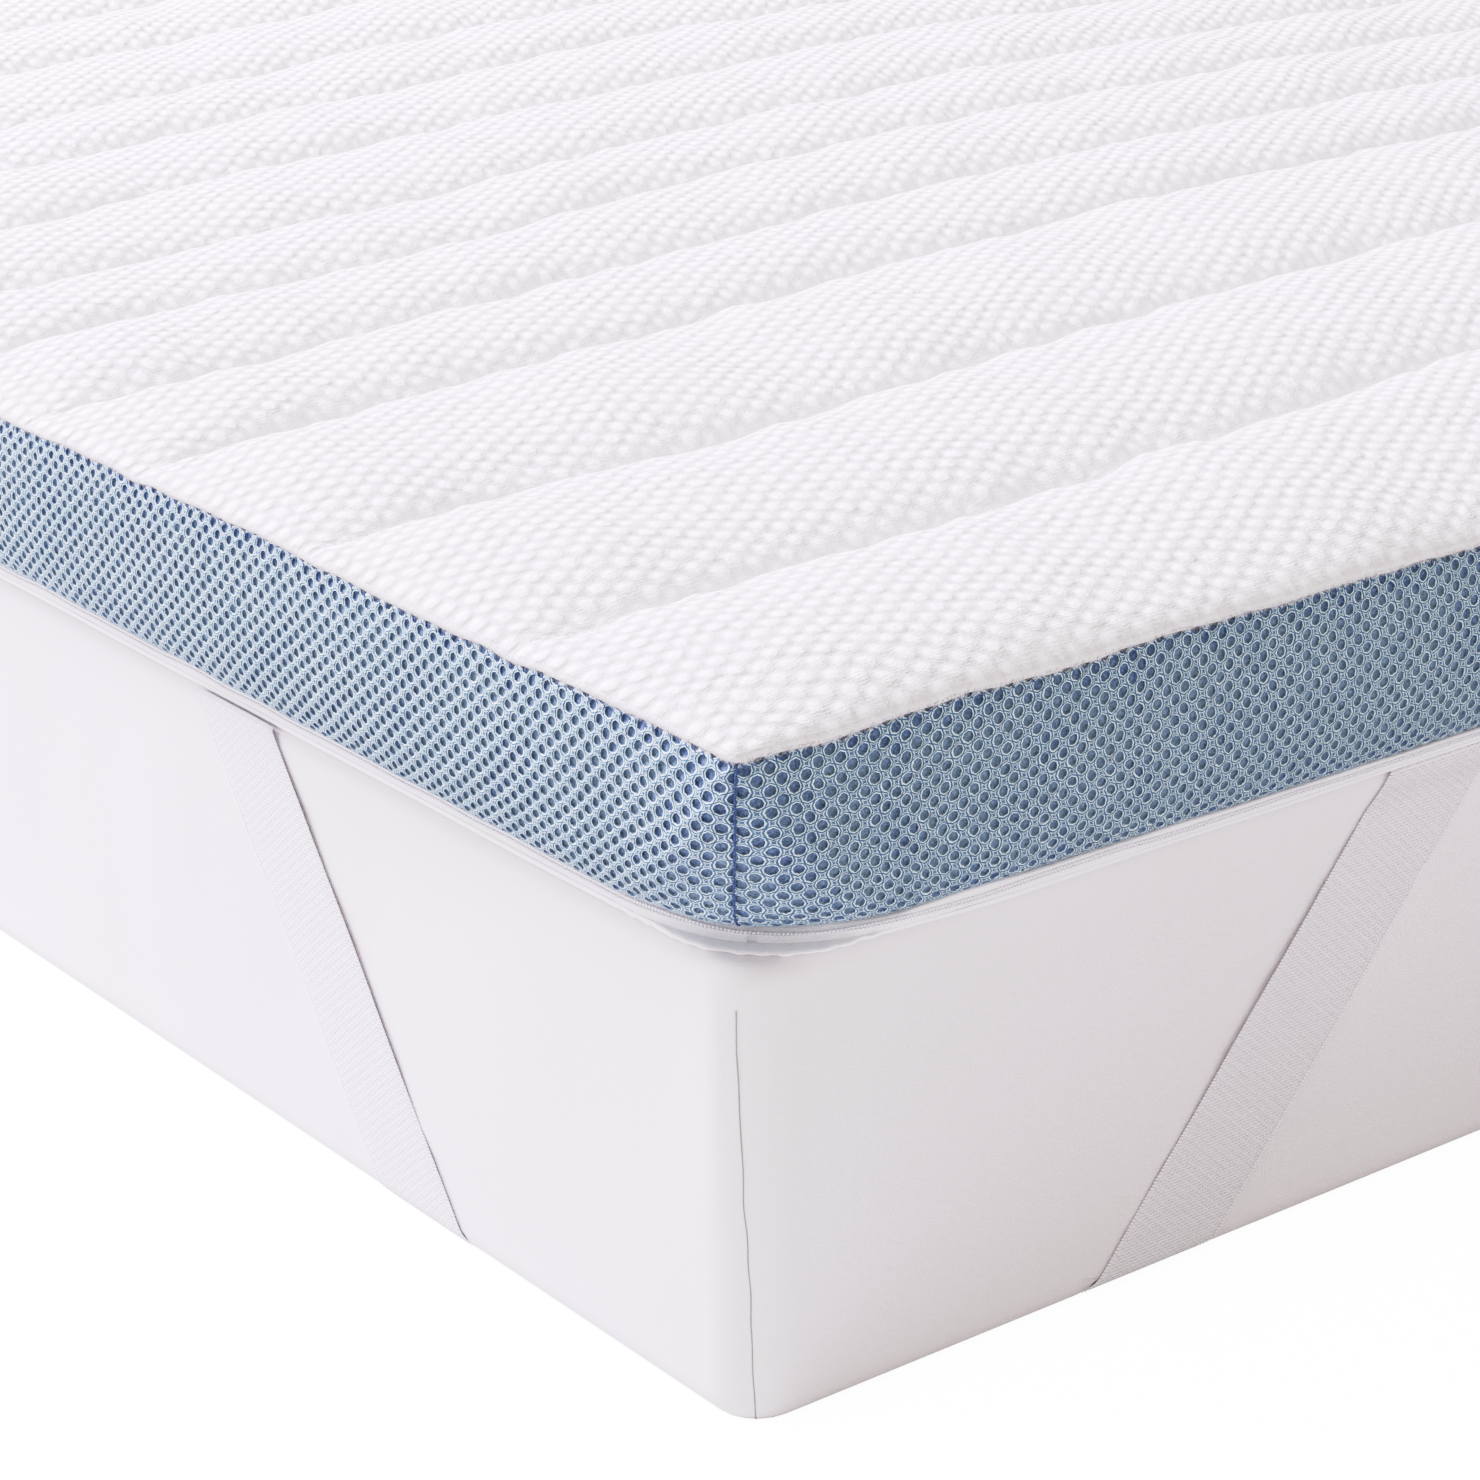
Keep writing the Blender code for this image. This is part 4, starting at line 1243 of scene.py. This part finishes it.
# ---------------------------------------------------------------- mattress
def strap_pull(points):
    """How near a point of the mattress is to a strap, 0 to 1, by its own face."""
    x, y, z = np.abs(points[:, 0]), np.abs(points[:, 1]), points[:, 2]
    pull = np.zeros(len(points))
    for face_gap, lateral, leg in ((FACE_Y - y, FACE_X - x, END_LEG),
                                   (FACE_X - x, FACE_Y - y, SIDE_LEG)):
        start, slope, half = leg
        off = np.abs(lateral - (start + slope * z)) - half * 0.78
        near = np.exp(-np.maximum(off, 0) / 0.030) * (off > 0)
        pull = np.maximum(pull, np.where(np.abs(face_gap) < 0.012, near, 0))
    return pull


def build_mattress():
    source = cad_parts["mattress"]
    bm = bmesh.new()
    bm.from_mesh(source.data)
    bmesh.ops.remove_doubles(bm, verts=bm.verts, dist=1e-6)
    bmesh.ops.dissolve_limit(bm, angle_limit=math.radians(0.5), verts=bm.verts,
                             edges=bm.edges)

    def cut(place, normal):
        bmesh.ops.bisect_plane(bm, geom=bm.verts[:] + bm.edges[:] + bm.faces[:],
                               plane_co=place, plane_no=normal, dist=1e-6)

    for axis, half in ((0, FACE_X), (1, FACE_Y)):
        normal = tuple(1.0 if k == axis else 0.0 for k in range(3))
        for gap in (0.026, 0.031, 0.038, 0.048):
            for sign in (-1, 1):
                cut(tuple(sign * (half - gap) if k == axis else 0.0
                          for k in range(3)), normal)
        count = int(2 * half / 0.0240)
        for k in range(1, count):
            spot = -half + 2 * half * k / count
            if abs(spot) < half - 0.060:
                cut(tuple(spot if a == axis else 0.0 for a in range(3)), normal)
    for z in np.linspace(0.012, MATTRESS_HEIGHT - 0.010, 16):
        cut((0, 0, z), (0, 0, 1))
    bmesh.ops.triangulate(bm, faces=[f for f in bm.faces if len(f.verts) > 4])
    mesh = bpy.data.meshes.new("mattress_cloth")
    bm.to_mesh(mesh)
    bm.free()
    points = np.array([v.co for v in mesh.vertices], float)
    x, y, z = points.T
    on_end = FACE_Y - np.abs(y) < 0.004
    on_side = FACE_X - np.abs(x) < 0.004
    along = np.where(on_side, y, x) + np.where(on_side, np.sign(x) * 3.0,
                                               np.sign(y) * 7.0)
    soft = Waves(90, 0.16, 0.55, 10, squash=(1.0, 1.4))
    folds = Waves(91, 0.030, 0.075, 12, squash=(1.0, 5.0))
    strap_folds = Waves(92, 0.020, 0.045, 12, squash=(1.0, 3.0))
    middle = smoothstep(z / 0.05) * smoothstep((MATTRESS_HEIGHT - z) / 0.04)
    pull = strap_pull(points)
    push = (0.0013 * soft(along, z) + 0.00038 * folds(along, z)
            + 0.00090 * pull * strap_folds(along, z) - 0.0006 * pull) * middle
    corner = np.hypot(np.maximum(0.06 - (FACE_X - np.abs(x)), 0),
                      np.maximum(0.06 - (FACE_Y - np.abs(y)), 0))
    ends = 1 - smoothstep((corner - 0.055) / 0.02)
    under_strap = np.zeros(len(points), bool)
    for gap, side_run, leg in ((FACE_Y - np.abs(y), FACE_X - np.abs(x), END_LEG),
                               (FACE_X - np.abs(x), FACE_Y - np.abs(y), SIDE_LEG)):
        off = np.abs(side_run - (leg[0] + leg[1] * z))
        under_strap |= (gap < 0.012) & (off < leg[2] + 0.004)
    push = np.where(under_strap, np.minimum(push, 0) * 0.4 - 0.0001, push) * ends
    points[:, 1] += np.where(on_end, np.sign(y) * push, 0)
    points[:, 0] += np.where(on_side & ~on_end, np.sign(x) * push, 0)
    # the cloth pinches into a soft ear at the top of each corner
    cx, cy = FACE_X - MATTRESS_CORNER, FACE_Y - MATTRESS_CORNER
    dx, dy = np.abs(x) - cx, np.abs(y) - cy
    round_part = (dx > 0) & (dy > 0) & (np.hypot(dx, dy) > 0.010)
    angle = np.degrees(np.arctan2(dy, dx))
    rise = smoothstep((z - 0.09) / 0.07) * smoothstep((MATTRESS_HEIGHT - 0.002 - z) / 0.02)
    ear = (0.0016 * np.exp(-((angle - 58) / 9) ** 2)
           - 0.0008 * np.exp(-((angle - 38) / 8) ** 2)) * rise
    size = np.maximum(np.hypot(dx, dy), 1e-6)
    points[:, 0] += np.where(round_part, np.sign(x) * dx / size * ear, 0)
    points[:, 1] += np.where(round_part, np.sign(y) * dy / size * ear, 0)
    mesh.vertices.foreach_set("co", points.astype(np.float32).ravel())
    mesh.materials.clear()
    mesh.materials.append(TICKING)
    mesh.polygons.foreach_set("material_index", np.zeros(len(mesh.polygons), np.int32))
    mesh.shade_smooth()
    mesh.set_sharp_from_angle(angle=math.radians(38))
    piece = bpy.data.objects.new("mattress_cloth", mesh)
    bpy.context.scene.collection.objects.link(piece)
    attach(piece, "root")
    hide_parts("mattress")
    return piece


def tube(points, radius, sides=6):
    """Round thread along a line of points."""
    points = np.asarray(points, float)
    tangent = np.gradient(points, axis=0)
    tangent /= np.linalg.norm(tangent, axis=1)[:, None]
    guide = np.array([0.3, 0.4, 0.86]) if abs(tangent[0, 2]) < 0.8 else np.array(
        [1.0, 0.0, 0.0])
    a = np.cross(tangent, guide)
    a /= np.linalg.norm(a, axis=1)[:, None]
    b = np.cross(tangent, a)
    turn = 2 * math.pi * np.arange(sides) / sides
    rings = (points[:, None] + radius * (a[:, None] * np.cos(turn)[None, :, None]
                                         + b[:, None] * np.sin(turn)[None, :, None]))
    m = len(points)
    faces = []
    for j in range(m - 1):
        for i in range(sides):
            n = (i + 1) % sides
            faces.append((j * sides + i, j * sides + n, (j + 1) * sides + n,
                          (j + 1) * sides + i))
    faces.append(tuple(range(sides)))
    faces.append(tuple(range((m - 1) * sides, m * sides)))
    return rings.reshape(-1, 3), faces


def join_parts(name, parts, material):
    points, faces, base = [], [], 0
    for p, f in parts:
        points.append(p)
        faces += [tuple(i + base for i in face) for face in f]
        base += len(p)
    piece = make_mesh(name, np.concatenate(points), faces, material)
    face_outwards(piece)
    return piece


def build_corner_seams():
    """Upright seams: the mattress's own, and the stitches that join the bands."""
    for name, sx, sy, seed in (("front_left", -1, -1, 1), ("front_right", 1, -1, 2),
                               ("back_left", -1, 1, 3), ("back_right", 1, 1, 4)):
        zs = np.linspace(0.0010, MATTRESS_HEIGHT - 0.018, 64)
        shake = Line(300 + seed, 0.02, 0.08)(zs) * 0.00018
        # it leans round the corner: towards the long side at its top
        turned = np.interp(zs, (0.0, 0.060, 0.130, 0.179), (50.0, 46.0, 38.0, 35.0))
        angle = np.radians(turned) + shake / MATTRESS_CORNER
        cx, cy = FACE_X - MATTRESS_CORNER, FACE_Y - MATTRESS_CORNER
        low = np.maximum(MATTRESS_BOTTOM_ROUND - zs, 0)
        round_in = MATTRESS_BOTTOM_ROUND - np.sqrt(MATTRESS_BOTTOM_ROUND ** 2 - low ** 2)
        r = MATTRESS_CORNER - round_in - 0.00012
        line = np.stack([sx * (cx + r * np.cos(angle)), sy * (cy + r * np.sin(angle)),
                         zs], 1)
        piece = join_parts("mattress_seam_" + name, [tube(line, 0.00030, 6)], OLIVE)
        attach(piece, "root")
    for side in range(4):
        # stitches lie across the joint between this band and the next
        name = ("front_right", "back_right", "back_left", "front_left")[side]
        length = TOPPER_WIDTH if side % 2 == 0 else TOPPER_LENGTH
        shift = SEAM_DRIFT[(side + 1) % 4]
        parts = []
        vs = np.linspace(0.012, 0.975, 27)
        for k in range(len(vs) - 1):
            v = np.linspace(vs[k] + 0.004, vs[k + 1] - 0.007, 5)
            out = -0.0005 + 0.00055 * np.sin(np.linspace(0, math.pi, 5))
            parts.append(tube(settle(band_point(side, length + shift * v ** 2, v, out)),
                              0.00030, 5))
        v = np.linspace(0.002, 0.995, 40)            # the ditch under the stitches
        parts.append(tube(settle(band_point(side, length + shift * v ** 2, v,
                                            np.full(40, -0.0015))), 0.0008, 6))
        piece = join_parts("corner_stitches_" + name, parts, NAVY)
        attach(piece, "root")


def build_edge_fuzz():
    """Loose fibres of the white cloth that stand over the blue edge, and the
    stitches of the seam under them."""
    rng = np.random.default_rng(900)
    points, faces, dashes, base = [], [], [], 0
    for side in range(4):
        length = TOPPER_WIDTH if side % 2 == 0 else TOPPER_LENGTH
        count = int(length / FIBRE_PITCH)
        at = (np.arange(count) + rng.uniform(0, 1, count)) * length / count
        lean = rng.normal(0, 0.0010, count)
        reach = rng.gamma(3.0, 0.00045, count).clip(0.0004, 0.0034)
        out = 0.0004 + 0.0007 * rng.random(count)
        wide = 0.00011 + 0.00008 * rng.random(count)
        lift = edge_lift(side, at)

        def spot(along, outwards, z):
            x, y = ring_xy(side, np.clip(along, 0, length), outwards, outwards, 0.0062)
            return np.stack([x, y, MATTRESS_HEIGHT + TOP_EDGE + lift + z], 1)

        root = [spot(at - wide, 0.0002 + 0 * at, -0.0001 + 0 * at),
                spot(at + wide, 0.0002 + 0 * at, -0.0001 + 0 * at),
                spot(at, 0.0002 + wide * 2, 0.0003 + 0 * at)]
        tip = spot(at + lean, out, -reach)
        points.append(np.stack(root + [tip], 1).reshape(-1, 3))
        for k in range(count):
            o = base + 4 * k
            faces += [(o, o + 1, o + 2), (o, o + 3, o + 1), (o + 1, o + 3, o + 2),
                      (o + 2, o + 3, o)]
        base += 4 * count
        marks = int(length / EDGE_STITCH)
        for k in range(marks):
            a = (k + 0.5) * length / marks + rng.normal(0, 0.0003)
            v = np.array([0.0012, 0.0024 + 0.0006 * rng.random()]) / BAND_HEIGHT
            along = np.array([a - 0.0009, a + 0.0009])
            dashes.append(tube(band_point(side, np.clip(along, 0, length), v,
                                          np.array([-0.0001, 0.0001])), 0.00028, 4))
    fuzz = make_mesh("knit_edge_fibres", np.concatenate(points), faces, FIBRE)
    face_outwards(fuzz)
    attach(fuzz, "root")
    marks = join_parts("edge_seam_stitches", dashes, NAVY)
    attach(marks, "root")


# ---------------------------------------------------------------- build
build_mattress()
build_knit()
NAMES = ("front", "right", "back", "left")
for side_index, side_name in enumerate(NAMES):
    strip = build_net(side_index, f"band_{side_name}_net")
    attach(strip, "root")
    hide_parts(f"band_{side_name}")
build_zip()
build_base()
for index, (strap_name, sx, sy) in enumerate((
        ("strap_front_left", -1, -1), ("strap_front_right", 1, -1),
        ("strap_back_left", -1, 1), ("strap_back_right", 1, 1))):
    build_strap(strap_name, sx, sy, 400 + index)
build_corner_seams()
build_edge_fuzz()

# ---------------------------------------------------------------- set
def plane(name, z, color, glow):
    mesh = bpy.data.meshes.new(name)
    mesh.from_pydata([(-14, -14, z), (14, -14, z), (14, 14, z), (-14, 14, z)], [],
                     [(0, 1, 2, 3)])
    obj = bpy.data.objects.new(name, mesh)
    bpy.context.scene.collection.objects.link(obj)
    mat = bpy.data.materials.new(name)
    mat.use_nodes = True
    shader = mat.node_tree.nodes["Principled BSDF"]
    shader.inputs["Base Color"].default_value = color
    shader.inputs["Roughness"].default_value = 0.9
    shader.inputs["Specular IOR Level"].default_value = 0.1
    shader.inputs["Emission Color"].default_value = (1, 1, 1, 1)
    shader.inputs["Emission Strength"].default_value = glow
    mesh.materials.append(mat)
    return obj


# The floor that is seen is plain white. The light it throws back comes from a
# pale one just under it.
floor = plane("floor", 0.0, (0.80, 0.80, 0.80, 1), 3.2)
for flag in ("visible_diffuse", "visible_glossy", "visible_transmission",
             "visible_volume_scatter", "visible_shadow"):
    setattr(floor, flag, False)
plane("floor_bounce", -0.0006, (0.70, 0.70, 0.70, 1), 0.0)

world = bpy.data.worlds.new("studio")
world.use_nodes = True
world.node_tree.nodes["Background"].inputs[0].default_value = (1.0, 0.93, 0.905, 1)
world.node_tree.nodes["Background"].inputs[1].default_value = 1.08
bpy.context.scene.world = world


def area_light(name, place, target, size, power, color=(1, 1, 1)):
    data = bpy.data.lights.new(name, "AREA")
    data.shape = "SQUARE"
    data.size, data.energy, data.color = size, power, color
    obj = bpy.data.objects.new(name, data)
    bpy.context.scene.collection.objects.link(obj)
    obj.location = place
    obj.rotation_euler = (Vector(target) - Vector(place)).to_track_quat(
        "-Z", "Y").to_euler()
    return obj


area_light("key", (-2.0, 3.0, 4.25), (-0.1, 0.0, 0.2), 3.0, 1500, (0.834, 0.785, 1.0))

# Highlights roll off softly, as they do in a photograph of white cloth.
view = bpy.context.scene.view_settings
view.view_transform = "Standard"
view.use_curve_mapping = True
tone_curve = view.curve_mapping
tone_curve.initialize()
tone_curve.white_level = (4.0, 4.0, 4.0)
curve = tone_curve.curves[3]
curve.points[0].location = (0.0, 0.0)
curve.points[1].location = (1.0, 1.0)
for light_in, light_out in ((0.25, 0.25), (0.50, 0.46), (0.75, 0.615), (1.0, 0.705),
                            (1.5, 0.79), (2.0, 0.855), (2.5, 0.905), (3.0, 0.945)):
    curve.points.new(light_in / 4.0, light_out)
tone_curve.update()

# ---------------------------------------------------------------- camera
yaw, pitch, roll = (math.radians(a) for a in (37.18, 21.53, -0.74))
eye = Vector((-1.5526, -2.1269, 0.8533))
ahead = Vector((math.sin(yaw) * math.cos(pitch), math.cos(yaw) * math.cos(pitch),
                -math.sin(pitch)))
level = Vector((math.cos(yaw), -math.sin(yaw), 0.0))
rise = level.cross(ahead)
right = level * math.cos(roll) + rise * math.sin(roll)
upward = -level * math.sin(roll) + rise * math.cos(roll)
camera = bpy.data.objects.new("camera", bpy.data.cameras.new("camera"))
bpy.context.scene.collection.objects.link(camera)
camera.data.sensor_width = 36.0
camera.data.lens = 4200 / 1480 * 36.0
camera.data.clip_start, camera.data.clip_end = 0.05, 100
camera.matrix_world = Matrix((
    (right.x, upward.x, -ahead.x, eye.x),
    (right.y, upward.y, -ahead.y, eye.y),
    (right.z, upward.z, -ahead.z, eye.z),
    (0, 0, 0, 1)))
bpy.context.scene.camera = camera
